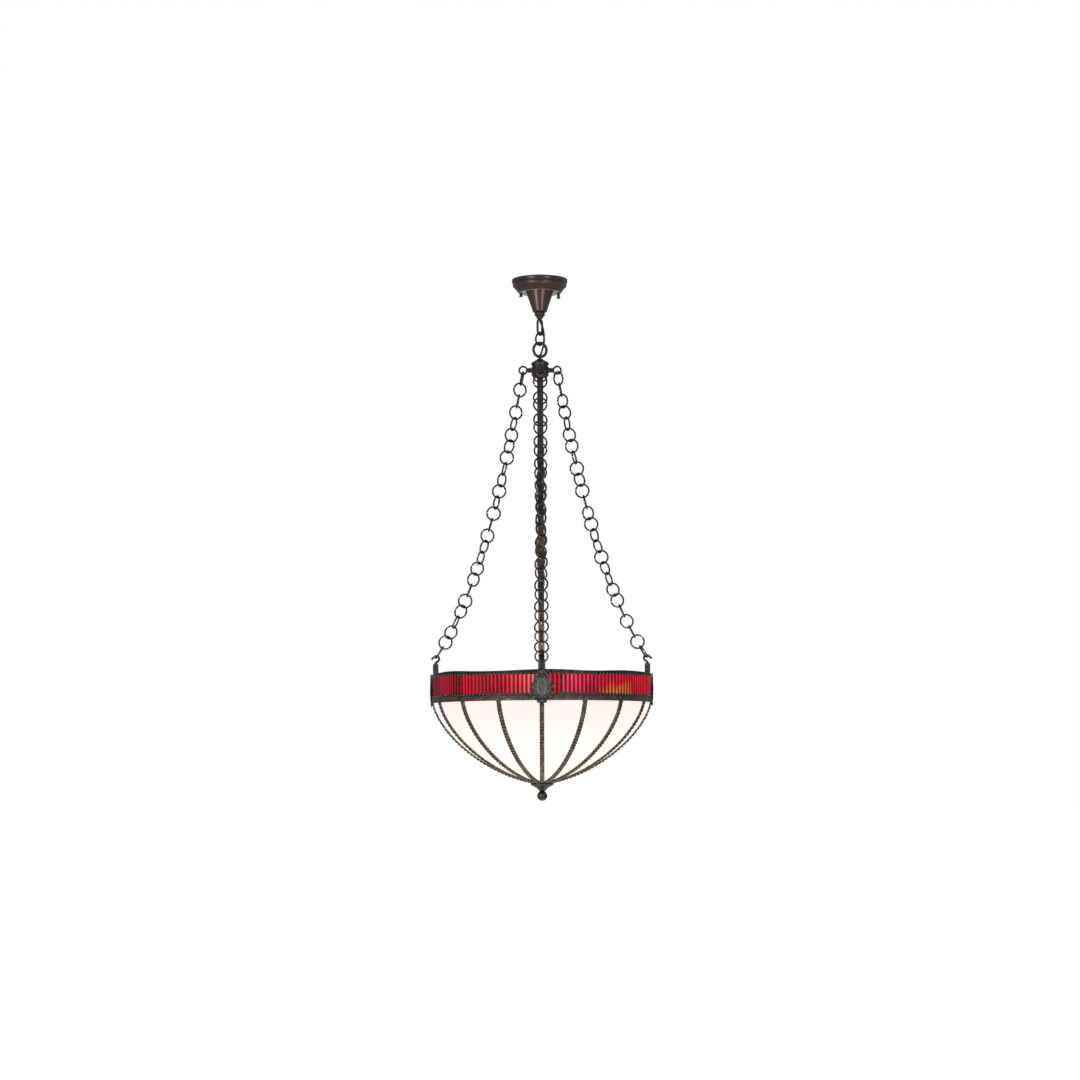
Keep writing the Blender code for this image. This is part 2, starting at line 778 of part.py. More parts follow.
def inside_of(rows, depth):
    """The same rows, moved inward at right angles to the outline."""
    moved = []
    for i, (r, z) in enumerate(rows):
        before, after = rows[max(i - 1, 0)], rows[min(i + 1, len(rows) - 1)]
        along = Vector((after[0] - before[0], after[1] - before[1])).normalized()
        moved.append((r + along.y * depth, min(z - along.x * depth, BOWL_TOP)))
    return moved


def rib_frame(finish):
    """Sixteen ribs between a rim ring and a ring at the bottom, cut from one curved sheet."""
    rows = bowl_outline()
    rim = (bowl_radius(BOWL_TOP - 4.0), BOWL_TOP - 4.0)
    rows.insert(1, rim)
    rows.append((RING_HOLE, bowl_height(RING_HOLE)))
    verts = []
    bay = 360.0 / RIBS
    for r, z in rows:
        spread = degrees(RIB_WIDTH / 2 / max(r, RING_OUTER))
        for rib in range(RIBS):
            verts += [radial(rib * bay + turn, r, z) for turn in (-spread, spread, bay / 2)]
    across = 3 * RIBS
    faces = []
    for i in range(len(rows) - 1):
        solid = i == 0 or i == len(rows) - 2
        for j in range(across):
            if solid or j % 3 == 0:
                k = (j + 1) % across
                faces.append((i * across + j, i * across + k, (i + 1) * across + k, (i + 1) * across + j))
    made = add("rib_frame", mesh_from("rib_frame", verts, faces), finish, "bowl_pivot", (0, 0, HUB_BOTTOM))
    bm = bmesh.new()
    bm.from_mesh(made.data)
    bm.faces.ensure_lookup_table()
    if bm.faces[0].normal.dot(bm.faces[0].calc_center_median()) < 0:
        bmesh.ops.reverse_faces(bm, faces=bm.faces)
    bmesh.ops.delete(bm, geom=[vert for vert in bm.verts if not vert.link_faces], context="VERTS")
    bm.to_mesh(made.data)
    bm.free()
    thick = made.modifiers.new("Thickness", "SOLIDIFY")
    thick.thickness = RIB_THICK * MM
    thick.offset = -1.0


def bowl_glass(finish):
    """Eight curved panes, each two bays wide, that lie behind the ribs."""
    frame = bowl_outline()
    outer = inside_of(frame, RIB_THICK + 0.6)
    inner = inside_of(frame, RIB_THICK + 0.6 + GLASS_THICK)
    rows = list(zip(inner, outer))
    bay = 360.0 / RIBS
    for number in range(RIBS // 2):
        start = number * 2 * bay
        angles = [start + bay * i / 2 for i in range(5)]
        mesh = curved_slab(rows, angles, "bowl_glass")
        trim_pane(mesh, start, start + 2 * bay)
        add(f"bowl_glass_{number + 1}", mesh, finish, "bowl_pivot", (0, 0, HUB_BOTTOM))


def trim_pane(mesh, start, end):
    """Draw the two long edges of a pane in by half the gap between panes."""
    for angle, sign in ((start, 1), (end, -1)):
        edge = Vector(radial(angle, 1.0, 0.0))
        shift = Vector((-edge.y, edge.x, 0.0)) * sign * SEAM_GAP * MM
        for vert in mesh.vertices:
            flat = Vector((vert.co.x, vert.co.y, 0.0)).normalized()
            if flat.dot(edge) > 1 - 1e-6:
                vert.co += shift


def bottom_cap(finish):
    bore = ROD_RADIUS + 0.4
    outline = [
        (bore, bowl_height(RING_HOLE) - 0.9),
        (RING_HOLE, bowl_height(RING_HOLE) - 0.6),
        (CAP_RADIUS, bowl_height(CAP_RADIUS) - 0.6),
        (CAP_RADIUS, bowl_height(CAP_RADIUS) - 2.2),
        (CAP_RADIUS - 8.0, -1157.0),
        (12.5, -1160.5),
        (7.0, CAP_BOTTOM),
        (bore, CAP_BOTTOM),
    ]
    add("bottom_cap", turned(outline, 24), finish, "bowl_pivot", (0, 0, HUB_BOTTOM))


def finial(finish):
    bore = ROD_RADIUS + 0.4
    top = CAP_BOTTOM - GAP
    floor = BALL_CENTRE + 2.0
    neck = 6.2
    outline = [(0, floor), (bore, floor), (bore, top), (neck, top)]
    first = asin(neck / BALL_RADIUS)
    for step in range(8):
        a = first + (pi - first) * step / 8
        outline.append((BALL_RADIUS * sin(a), BALL_CENTRE + BALL_RADIUS * cos(a)))
    outline.append((0, BALL_CENTRE - BALL_RADIUS))
    mesh = turned([(r, z - BALL_CENTRE) for r, z in outline], 14)
    add("finial", mesh, finish, "bowl_pivot", (0, 0, BALL_CENTRE), local=True)


# ---------------------------------------------------------------- lamps


def socket_cluster(finish):
    outline = [
        (0, CLUSTER_TOP),
        (CLUSTER_RADIUS - 6.0, CLUSTER_TOP),
        (CLUSTER_RADIUS, CLUSTER_TOP - 4.0),
        (CLUSTER_RADIUS, CLUSTER_BOTTOM),
        (6.0, CLUSTER_BOTTOM - 3.0),
        (6.0, -1143.8),
        (24.0, -1144.8),
        (24.0, -1147.5),
        (ROD_RADIUS, -1147.5),
        (ROD_RADIUS, BALL_CENTRE + 3.0),
        (0, BALL_CENTRE + 3.0),
    ]
    add("socket_cluster", turned(outline, 16), finish, "bowl_pivot", (0, 0, HUB_BOTTOM))


def sockets_and_bulbs(socket_finish, bulb_finish):
    cup = [(0, 0), (12, 0), (SOCKET_RADIUS, 6), (SOCKET_RADIUS, SOCKET_LENGTH), (14.2, SOCKET_LENGTH)]
    cup += [(14.2, 4), (0, 4)]
    glass = [(0, 7), (13.2, 7), (13.2, 38), (13.6, 46), (20, 62), (27, 77), (30, 90), (28, 102), (20, 112)]
    glass += [(10, 117), (0, 118.5)]
    cup_mesh = turned(cup, 12, "socket")
    bulb_mesh = turned(glass, 12, "bulb")
    for number, angle in enumerate(SOCKET_ANGLES, 1):
        place = radial(angle, SOCKET_START_R, SOCKET_START_Z)
        turn = Matrix.Rotation(turn_to(angle), 4, "Z") @ Matrix.Rotation(radians(90 - SOCKET_RISE), 4, "Y")
        turn = turn.to_euler()
        add(f"socket_{number}", cup_mesh, socket_finish, "bowl_pivot", place, turn, local=True)
        add(f"bulb_{number}", bulb_mesh, bulb_finish, "bowl_pivot", place, turn, local=True)


# ---------------------------------------------------------------- supply cord


def smooth_route(points, step):
    """Points a step apart on a Catmull-Rom curve through the route's own points."""
    points = [Vector(p) for p in points]
    padded = [2 * points[0] - points[1]] + points + [2 * points[-1] - points[-2]]
    fine = []
    for a, b, c, d in zip(padded, padded[1:], padded[2:], padded[3:]):
        for i in range(24):
            t = i / 24
            part = 2 * b + (c - a) * t + (2 * a - 5 * b + 4 * c - d) * t**2 + (3 * b - a - 3 * c + d) * t**3
            fine.append(part / 2)
    fine.append(points[-1])
    total = sum((q - p).length for p, q in zip(fine, fine[1:]))
    count = max(2, round(total / step))
    route, run, wanted = [fine[0]], 0.0, total / count
    for p, q in zip(fine, fine[1:]):
        piece = (q - p).length
        while piece and run + piece >= wanted - 1e-9 and len(route) < count:
            route.append(p + (q - p) * ((wanted - run) / piece))
            wanted += total / count
        run += piece
    route.append(fine[-1])
    return route


def cord_object(name, points, finish, pivot):
    curve = bpy.data.curves.new(name, "CURVE")
    curve.dimensions = "3D"
    curve.bevel_depth = CORD_RADIUS * MM
    curve.bevel_resolution = 2
    curve.use_fill_caps = True
    spline = curve.splines.new("POLY")
    spline.points.add(len(points) - 1)
    for target, point in zip(spline.points, points):
        target.co = (*((Vector(point) - Vector(PIVOTS[pivot][1])) * MM), 1.0)
    curve.materials.append(finish)
    made = bpy.data.objects.new(name, curve)
    bpy.context.collection.objects.link(made)
    made.parent = bpy.data.objects[pivot]


def woven_points():
    """The cord beside the back chain: it changes side through every fourth link."""
    at = hanging_curve()
    points = []
    step = LINK_PITCH / 2
    last = (LINKS - 1.5) * LINK_PITCH
    s = 1.5 * LINK_PITCH
    while s < last:
        centre, along = at(s)
        inward = Vector((along.z, 0.0, -along.x))
        side = 1.0
        for number in CORD_CROSSINGS:
            away = s - (number - 1) * LINK_PITCH
            if away >= LINK_PITCH:
                side = -side
            elif away > -LINK_PITCH:
                side = -side * sin(pi / 2 * away / LINK_PITCH)
                break
        place = centre + inward * CORD_SIDE * side
        points.append((0.0, place.x, place.z))
        s += step
    return points


def supply_cord(finish):
    cord_object("supply_cord_upper", smooth_route(CORD_UPPER, CORD_STEP), finish, "ceiling")
    lower = list(CORD_FROM_HUB) + woven_points() + list(CORD_INTO_BOWL)
    cord_object("supply_cord_lower", smooth_route(lower, CORD_STEP), finish, "hub_pivot")


# ---------------------------------------------------------------- assembly


def build():
    clear_scene()
    make_pivots()
    mahogany = material("mahogany_bronze", (0.085, 0.055, 0.048), 0.38, 0.85)
    bronze = material("dark_bronze", (0.028, 0.024, 0.020), 0.42, 0.8)
    patina = material("rail_patina", (0.050, 0.052, 0.044), 0.5, 0.7)
    came = material("came_brass", (0.105, 0.070, 0.045), 0.48, 0.75)
    steel = material("zinc_steel", (0.45, 0.44, 0.42), 0.4, 0.9)
    red_glass = material("red_glass", (0.45, 0.004, 0.015), 0.15, 0.0)
    opal_glass = material("opal_glass", (0.93, 0.86, 0.80), 0.25, 0.0)
    bulb_glass = material("bulb_glass", (0.95, 0.93, 0.88), 0.3, 0.0)
    porcelain = material("porcelain", (0.85, 0.84, 0.80), 0.35, 0.0)
    cord = material("brown_cord", (0.055, 0.038, 0.030), 0.55, 0.0)

    crossbar(steel)
    canopy(mahogany)
    canopy_cone(mahogany)
    screw_collar(bronze)
    nipple_loop(bronze)
    studs_and_nuts(steel, bronze)
    oval_link(bronze)
    hanging_ring(bronze)
    hub_eye(bronze)
    hub_body(bronze)
    arm_eyes(bronze)
    chains(bronze)
    hooks(bronze)
    rail("top_rail", BAND_TOP, BAND_TOP - TOP_RAIL_HEIGHT, patina)
    rail("bottom_rail", BOTTOM_RAIL_TOP, BAND_BOTTOM, patina)
    band_glass(red_glass)
    medallions(patina)
    rib_frame(came)
    bowl_glass(opal_glass)
    bottom_cap(came)
    finial(bronze)
    socket_cluster(bronze)
    sockets_and_bulbs(porcelain, bulb_glass)
    supply_cord(cord)


build()
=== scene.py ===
"""Looks of the inverted glass bowl pendant.

Shapes are worked out in millimetres in the part's own frame: the lamp hangs down -Z from the ceiling
plane, and angles round its axis are counted from the front (-Y) towards the right (+X).
"""

from math import asinh, atan2, cos, cosh, pi, radians, sin, sinh, sqrt

import bmesh
import bpy
from mathutils import Matrix, Vector

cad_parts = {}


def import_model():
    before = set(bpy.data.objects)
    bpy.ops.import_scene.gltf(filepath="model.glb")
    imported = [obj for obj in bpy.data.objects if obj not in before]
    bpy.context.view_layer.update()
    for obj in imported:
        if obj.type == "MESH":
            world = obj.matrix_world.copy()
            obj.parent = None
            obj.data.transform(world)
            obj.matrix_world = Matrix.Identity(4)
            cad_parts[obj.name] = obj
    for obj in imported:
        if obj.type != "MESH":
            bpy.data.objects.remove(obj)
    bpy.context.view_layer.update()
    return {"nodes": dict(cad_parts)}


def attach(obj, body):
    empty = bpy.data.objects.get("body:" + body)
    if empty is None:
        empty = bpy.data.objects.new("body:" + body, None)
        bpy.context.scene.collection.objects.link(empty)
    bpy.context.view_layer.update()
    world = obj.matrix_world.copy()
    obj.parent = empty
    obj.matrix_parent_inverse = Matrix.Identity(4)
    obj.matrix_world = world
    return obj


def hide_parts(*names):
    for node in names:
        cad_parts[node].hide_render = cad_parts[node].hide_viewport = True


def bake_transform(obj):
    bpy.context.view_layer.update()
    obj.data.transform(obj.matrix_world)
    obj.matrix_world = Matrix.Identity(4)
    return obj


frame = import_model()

MM = 0.001
SIDES = {"front": 0.0, "right": 90.0, "back": 180.0, "left": 270.0}

# Canopy screws: the place across and the lower end of each
STUDS = {"left": (-42.9, -39.0), "right": (42.9, -43.5)}

# Suspension, as in the part
LOOP = {"z": -108.45, "half": (10.5, 17.25), "wire": 2.65, "turn": 60.0, "square": 0.13}
OVAL = {"z": -135.35, "half": (11.0, 14.5), "wire": 2.15, "turn": -30.0}
RING = {"z": -160.5, "half": (16.0, 16.0), "wire": 3.15, "turn": 23.0}
HUB_EYE = {"z": -176.5, "half": (5.05, 5.05), "wire": 1.7, "turn": 113.0}
LOOP_PIVOT, OVAL_PIVOT, RING_PIVOT = -125.7, -149.85, -176.5
HUB_TOP, HUB_BOTTOM = -183.6, -224.0
ARM_Z = -207.1
ARM_EYE_R = 38.9
ARM_EYE_HALF = 8.7
ARM_EYE_WIRE = 2.15

# Chains
LINKS = 26
LINK_PITCH = 26.3
LINK_RADIUS = 15.1
LINK_WIRE = 2.05
LINK_SEAM = 5.0
CHAIN_TOP = (41.7, -226.0)
CHAIN_BOTTOM = (232.9, -851.5)
LINK_STEP_FRONT = 93.6
# Each link's turn about its chain, from lying across the chain's plane, as the side chains hang
LINK_TURNS = {
    "left": (10, -65, 5, -65, 25, -65, 45, -80, 15, -35, 80, -20, -90)
    + (5, -70, 35, -25, 70, -55, 5, -80, 60, -10, 65, -70, 5),
    "right": (40, -5, 45, -60, 20, -65, 65, -15, 80, -50, 80, -5, 50)
    + (-80, 30, -35, 80, -40, 20, -65, 65, -5, 65, -5, -90, 5),
}

# Hooks
HOOK_CENTRE = (240.5, -866.2)
HOOK_BEND = 6.4
HOOK_THICK, HOOK_WIDTH, HOOK_TIP_WIDTH = 4.8, 12.4, 9.8
POST_INNER, POST_OUTER, POST_TOP = 236.5, 248.5, -879.5
POST_HALF, INNER_PLATE_BOTTOM = 7.9, -918.0

# Band
RAIL_OUTER, RAIL_INNER = 251.0, 247.0
BAND_TOP, TOP_RAIL_BOTTOM = -900.5, -911.0
BEAD_STRIP_TOP, BEAD_STRIP_BOTTOM, BAND_BOTTOM = -952.0, -957.6, -966.0
GLASS_INNER, GLASS_OUTER = 247.2, 249.6
RAIL_FRONT = 249.9
BAND_SEAMS = (0.0, 10.0, 54.0, 90.0, 135.0, 180.0, 225.0, 270.0, 314.5)
RIM_WAVE, RIM_WAVES, RIM_DROP = 1.2, 7, 0.3
REEDS = 164
REED_DEPTH = 1.3
BEADS = 174
BEAD_RADIUS = 1.9

# Medallions
MEDALLION_BACK, MEDALLION_FACE = 251.7, 253.2
STONE_HALF = (12.7, 20.5)
STONE_Z = -939.4

# Bowl
BOWL_RADIUS, BOWL_EQUATOR, BOWL_DEPTH, BOWL_POWER = 252.0, -960.0, 194.0, 1.6
BOWL_TOP = -966.8
RIBS = 16
RIB_HALF = 5.2
RIB_BEAD_PITCH = 9.2
PANE_DEPTHS = (3.9, 6.8)
RING_OUTER, RING_HOLE = 30.0, 14.0
CAP_RADIUS, CAP_BOTTOM = 27.0, -1168.5
BALL_RADIUS, BALL_CENTRE = 11.5, -1180.5

# Lamps
SOCKET_ANGLES = (0.0, 120.0, 240.0)
SOCKET_START_R, SOCKET_START_Z, SOCKET_RISE = 30.0, -1108.0, 25.0
CLUSTER_RADIUS = 22.0
GLOW_R, GLOW_Z = 100.0, -1025.0
ROD_RADIUS, ROD_BOTTOM = 4.0, -1177.5

# Supply cord, on the same route as in the part
CORD_STEP, UPPER_CORD_STEP = 5.0, 2.5
CORD_SIDE = 24.0
CORE_RADIUS = 1.9
UPPER_CORE_RADIUS = 1.15
CORD_CROSSINGS = (8, 12, 16, 20)
BEND_ABOVE, BEND_BELOW, BEND_BELOW_EYE = 14.0, 4.0, 2.0
CORD_UPPER = (
    (0.4, -0.2, -94.4), (2.2, -1.3, -99.0), (5.0, -4.0, -106.0), (7.3, -8.0, -114.0),
    (8.8, -11.0, -123.0), (9.4, -11.8, -134.0), (9.4, -12.0, -144.0), (8.2, -12.4, -152.0),
    (6.0, -12.7, -160.0), (3.6, -12.4, -168.0), (1.6, -11.6, -176.0), (1.0, -11.2, -183.0),
)
CORD_FROM_HUB = ((0.0, 9.0, -225.2), (0.0, 9.8, -232.0), (0.0, 14.0, -243.0), (0.0, 20.0, -256.0))
CORD_INTO_BOWL = (
    (0.0, 216.0, -874.0), (0.0, 222.0, -900.0), (0.0, 226.0, -930.0), (0.0, 225.0, -960.0),
    (0.0, 215.0, -997.0), (0.0, 193.0, -1034.0), (0.0, 158.0, -1066.0), (0.0, 115.0, -1090.0),
    (0.0, 70.0, -1104.0), (0.0, 38.0, -1108.0), (0.0, CLUSTER_RADIUS + 0.5, -1108.5),
)


# ---- shapes


def radial(angle, r, z):
    return Vector((r * sin(radians(angle)), -r * cos(radians(angle)), z))


def to_side(angle):
    """Turns what was made on the local +X side to its own side of the lamp."""
    return Matrix.Rotation(radians(angle - 90.0), 4, "Z")


class Shape:
    """Points in millimetres and faces, gathered until they become one mesh."""

    def __init__(self):
        self.points = []
        self.faces = []

    def grid(self, rows, around=False, along=False, caps=False):
        """Faces between rows of points. around closes each row, along joins the last row to the first."""
        first, across, count = len(self.points), len(rows[0]), len(rows)
        for row in rows:
            self.points += [Vector(p) for p in row]
        for i in range(count if along else count - 1):
            a, b = first + i * across, first + (i + 1) % count * across
            for j in range(across if around else across - 1):
                k = (j + 1) % across
                self.faces.append((a + j, a + k, b + k, b + j))
        if caps:
            last = first + (count - 1) * across
            self.faces.append(tuple(range(first, first + across)))
            self.faces.append(tuple(range(last, last + across)))
        return self

    def add(self, other, matrix=Matrix.Identity(4)):
        first = len(self.points)
        self.points += [matrix @ p for p in other.points]
        self.faces += [tuple(first + i for i in face) for face in other.faces]
        return self


def lathe(outline, steps, wave=None):
    """Turns an outline of (radius, height) round Z: capped where an end is on the axis, or else closed."""
    solid = min(outline[0][0], outline[-1][0]) < 0.5
    angles = [360.0 * i / steps for i in range(steps)]
    rows = []
    for r, z in outline:
        rows.append([radial(a, max(r, 0.05), z + (wave(a) if wave else 0.0)) for a in angles])
    return Shape().grid(rows, around=True, along=not solid, caps=solid)


def eased(outline, size):
    """The same outline with each corner rounded off by three points."""
    made = [outline[0]]
    for before, corner, after in zip(outline, outline[1:], outline[2:]):
        b, c, a = Vector(before), Vector(corner), Vector(after)
        start = c + (b - c).normalized() * min(size, (b - c).length * 0.45)
        end = c + (a - c).normalized() * min(size, (a - c).length * 0.45)
        made += [tuple(start), tuple(start * 0.25 + c * 0.5 + end * 0.25), tuple(end)]
    return made + [outline[-1]]


def wire_ring(centre, across, up, half, wire, steps, sides, seam=0.0, seam_at=0.0, square=0.0):
    """A wire bent round an oval in the plane of two unit vectors, with an open seam of some degrees."""
    across, up, centre = Vector(across), Vector(up), Vector(centre)
    out = across.cross(up)
    section = [2 * pi * j / sides for j in range(sides)]
    rows = []
    for i in range(steps + 1 if seam else steps):
        a = radians(seam_at + seam / 2 + (360.0 - seam) * i / steps)
        swell = 1.0 + square * sin(2 * a) ** 2
        middle = centre + (across * half[0] * sin(a) + up * half[1] * cos(a)) * swell
        outward = (across * half[1] * sin(a) + up * half[0] * cos(a)).normalized()
        rows.append([middle + (outward * cos(s) + out * sin(s)) * wire for s in section])
    return Shape().grid(rows, around=True, along=not seam, caps=bool(seam))


def tube(points, section):
    """A closed section of (side, up) pairs, swept along points."""
    points = [Vector(p) for p in points]
    beside = Vector((1.0, 0.0, 0.0))
    rows = []
    for i, p in enumerate(points):
        along = (points[min(i + 1, len(points) - 1)] - points[max(i - 1, 0)]).normalized()
        beside = (beside - along * beside.dot(along)).normalized()
        above = along.cross(beside)
        rows.append([p + beside * a + above * b for a, b in section])
    return Shape().grid(rows, around=True, caps=True)


def circle(radius, sides, offset=(0.0, 0.0)):
    turns = [2 * pi * j / sides for j in range(sides)]
    return [(offset[0] + radius * cos(a), offset[1] + radius * sin(a)) for a in turns]


def ball(centre, radii, rows, steps):
    made = []
    for i in range(rows + 1):
        a = max(0.02, min(pi - 0.02, pi * i / rows))
        ring = []
        for j in range(steps):
            b = 2 * pi * j / steps
            offset = Vector((radii[0] * sin(a) * cos(b), radii[1] * sin(a) * sin(b), radii[2] * cos(a)))
            ring.append(Vector(centre) + offset)
        made.append(ring)
    return Shape().grid(made, around=True, caps=True)


def slab(outline, low, high, ease):
    """A flat outline of (y, z) pairs, from x = low to x = high, with its front edge eased."""
    count = len(outline)
    middle = Vector((sum(a for a, _ in outline) / count, sum(b for _, b in outline) / count))
    rows = []
    for x, inset in ((low, 0.0), (high - ease, 0.0), (high - ease * 0.3, ease * 0.35), (high, ease)):
        row = []
        for a, b in outline:
            point = Vector((a, b))
            point -= (point - middle).normalized() * inset
            row.append(Vector((x, point.x, point.y)))
        rows.append(row)
    return Shape().grid(rows, around=True, caps=True)


def put(name, data):
    """A new object in the scene for some data."""
    made = bpy.data.objects.new(name, data)
    bpy.context.scene.collection.objects.link(made)
    return made


def piece(name, shape, finish, body, replaces=(), sharp=40.0):
    """Makes a Shape into an object that rides on a body, or on none yet where body is empty."""
    mesh = bpy.data.meshes.new(name)
    mesh.from_pydata([p * MM for p in shape.points], [], shape.faces)
    bm = bmesh.new()
    bm.from_mesh(mesh)
    bmesh.ops.recalc_face_normals(bm, faces=bm.faces)
    bm.to_mesh(mesh)
    bm.free()
    mesh.shade_smooth()
    mesh.set_sharp_from_angle(angle=radians(sharp))
    mesh.materials.append(finish)
    made = put(name, mesh)
    if body:
        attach(made, body)
    if replaces:
        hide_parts(*replaces)
    return made


# ---- materials


class Nodes:
    """A Principled material with short ways to add texture nodes."""

    def __init__(self, name, **values):
        self.material = bpy.data.materials.new(name)
        self.material.use_nodes = True
        self.tree = self.material.node_tree
        self.shader = self.tree.nodes["Principled BSDF"]
        for key, value in values.items():
            self.shader.inputs[key.replace("_", " ")].default_value = value

    def node(self, kind, **settings):
        made = self.tree.nodes.new("ShaderNode" + kind)
        for key, value in settings.items():
            setattr(made, key, value)
        return made

    def link(self, output, target):
        self.tree.links.new(output, target)

    def place(self, scale):
        coordinates = self.node("TexCoord")
        mapping = self.node("Mapping")
        mapping.inputs["Scale"].default_value = scale
        self.link(coordinates.outputs["Object"], mapping.inputs["Vector"])
        return mapping.outputs["Vector"]

    def feed(self, name, output):
        self.link(output, self.shader.inputs[name])

    def axes(self):
        """The outputs X, Y and Z of the place on the object, in metres."""
        split = self.node("SeparateXYZ")
        self.link(self.node("TexCoord").outputs["Object"], split.inputs[0])
        return split.outputs

    def noise(self, scale, detail=4.0, stretch=(1.0, 1.0, 1.0)):
        made = self.node("TexNoise")
        made.inputs["Scale"].default_value = scale
        made.inputs["Detail"].default_value = detail
        made.inputs["Roughness"].default_value = 0.55
        self.link(self.place(stretch), made.inputs["Vector"])
        return made.outputs["Fac"]

    def ramp(self, factor, stops):
        made = self.node("ValToRGB")
        elements = made.color_ramp.elements
        while len(elements) < len(stops):
            elements.new(0.5)
        for element, (position, colour) in zip(elements, stops):
            element.position = position
            element.color = (*colour, 1.0)
        self.link(factor, made.inputs["Fac"])
        return made.outputs["Color"]

    def math(self, operation, a, b=None):
        made = self.node("Math", operation=operation)
        for value, socket in ((a, made.inputs[0]), (b, made.inputs[1])):
            if isinstance(value, (int, float)):
                socket.default_value = value
            elif value is not None:
                self.link(value, socket)
        return made.outputs[0]

    def vector(self, operation, a, b):
        made = self.node("VectorMath", operation=operation)
        self.link(a, made.inputs[0])
        self.link(b, made.inputs["Scale" if operation == "SCALE" else 1])
        return made.outputs["Vector"]

    def spread(self, factor, low, high, start=0.3, end=0.7, kind="LINEAR"):
        """The factor's range from start to end, moved to the range from low to high."""
        made = self.node("MapRange", interpolation_type=kind)
        for name, value in (("From Min", start), ("From Max", end), ("To Min", low), ("To Max", high)):
            made.inputs[name].default_value = value
        self.link(factor, made.inputs["Value"])
        return made.outputs["Result"]

    def bump(self, height, strength, distance):
        made = self.node("Bump")
        made.inputs["Strength"].default_value = strength
        made.inputs["Distance"].default_value = distance
        self.link(height, made.inputs["Height"])
        self.feed("Normal", made.outputs["Normal"])


def metal(name, rough, metallic, scale):
    """Patinated metal: cloudy colour from three shades, uneven sheen and fine pitting."""
    made = Nodes(name, Metallic=metallic)
    made.feed("Base Color", made.ramp(made.noise(scale, 5.0), tuple(zip((0.32, 0.5, 0.7), SHADES[name]))))
    made.feed("Roughness", made.spread(made.noise(scale * 2.3, 3.0), *rough))
    made.bump(made.noise(scale * 9.0, 4.0), 0.12, 0.0006)
    return made.material


def canopy_bronze(name):
    """Brushed red-brown bronze that turns grey on the canopy's upper moulding."""
    made = Nodes(name, Metallic=0.85)
    up = made.math("ADD", made.math("DIVIDE", made.axes()["Z"], 0.04), 1.0)
    brown, grey = (0.150, 0.096, 0.088), (0.105, 0.098, 0.090)
    tone = made.ramp(up, ((0.0, brown), (0.74, brown), (0.80, grey), (1.0, grey)))
    thin, full, brushed = (0.80, 0.80, 0.80), (1.12, 1.12, 1.12), (1.0, 1.0, 0.2)
    cloud = made.ramp(made.noise(26.0, 4.0, brushed), ((0.3, thin), (0.7, full)))
    made.feed("Base Color", made.vector("MULTIPLY", tone, cloud))
    made.feed("Roughness", made.spread(made.noise(60.0, 3.0, brushed), 0.28, 0.35))
    made.bump(made.noise(300.0, 3.0), 0.05, 0.0003)
    return made.material


def opal(name):
    """Cream opal glass painted with the light of the lamps behind it, warmer and brighter low down and
    pinker at the rim.
    """
    made = Nodes(name, Roughness=0.3, Coat_Weight=0.08, Coat_Roughness=0.25, Emission_Strength=0.93)
    drift = made.math("MULTIPLY", made.math("SUBTRACT", made.noise(9.0, 3.0), 0.5), 0.25)
    share = made.math("DIVIDE", made.math("ADD", made.axes()["Z"], 1.155), 0.19)
    glow = ((0.0, (0.98, 0.88, 0.76)), (0.25, (1.0, 0.935, 0.87)), (0.6, (1.0, 0.925, 0.89)))
    glow += ((0.85, (1.0, 0.905, 0.875)), (1.0, (0.985, 0.870, 0.840)))
    # Painted light: the emission is the lamps' glow through the glass, graded by height
    made.feed("Emission Color", made.ramp(made.math("ADD", share, drift), glow))
    pale, deep = (0.16, 0.145, 0.135), (0.10, 0.088, 0.082)
    made.feed("Base Color", made.ramp(made.noise(14.0, 4.0, (1.0, 1.0, 0.3)), ((0.3, deep), (0.7, pale))))
    made.bump(made.noise(26.0, 2.0), 0.08, 0.002)
    return made.material


# Glow colours of the red glass at angles from the front, left pieces first, all painted light:
# pinkish painted highlights near the front and painted shade towards both sides
RUBY_PAINTED_LIGHT = (
    (-180, (0.55, 0.004, 0.024)), (-91, (0.30, 0.003, 0.012)), (-84, (0.13, 0.003, 0.008)),
    (-70, (0.30, 0.003, 0.016)), (-63, (0.76, 0.004, 0.044)), (-55, (0.62, 0.004, 0.036)),
    (-50, (0.34, 0.006, 0.022)), (-45.5, (0.24, 0.004, 0.014)), (-45, (0.95, 0.004, 0.026)),
    (-38, (0.88, 0.006, 0.034)), (-32, (0.60, 0.004, 0.032)), (-20, (0.88, 0.010, 0.040)),
    (-9, (1.0, 0.070, 0.090)), (-1, (0.96, 0.200, 0.215)), (0, (0.78, 0.004, 0.050)),
    (8, (0.74, 0.008, 0.020)), (9.6, (0.30, 0.002, 0.008)), (10.2, (0.86, 0.060, 0.130)),
    (22, (0.98, 0.026, 0.085)), (29, (0.56, 0.006, 0.050)), (38, (0.84, 0.008, 0.030)),
    (53.6, (0.78, 0.006, 0.022)), (54.4, (0.72, 0.002, 0.010)), (64, (0.88, 0.004, 0.024)),
    (80, (0.62, 0.004, 0.026)), (90, (0.40, 0.004, 0.020)), (180, (0.58, 0.004, 0.028)),
)
# Where the right-hand piece turns amber towards its lower edge
AMBER_STOPS = (
    (-180, (0.0, 0.0, 0.0)), (29, (0.0, 0.0, 0.0)), (36, (0.18, 0.17, 0.03)), (44, (0.14, 0.24, 0.02)),
    (52, (0.06, 0.16, 0.01)), (53.8, (0.0, 0.0, 0.0)), (180, (0.0, 0.0, 0.0)),
)


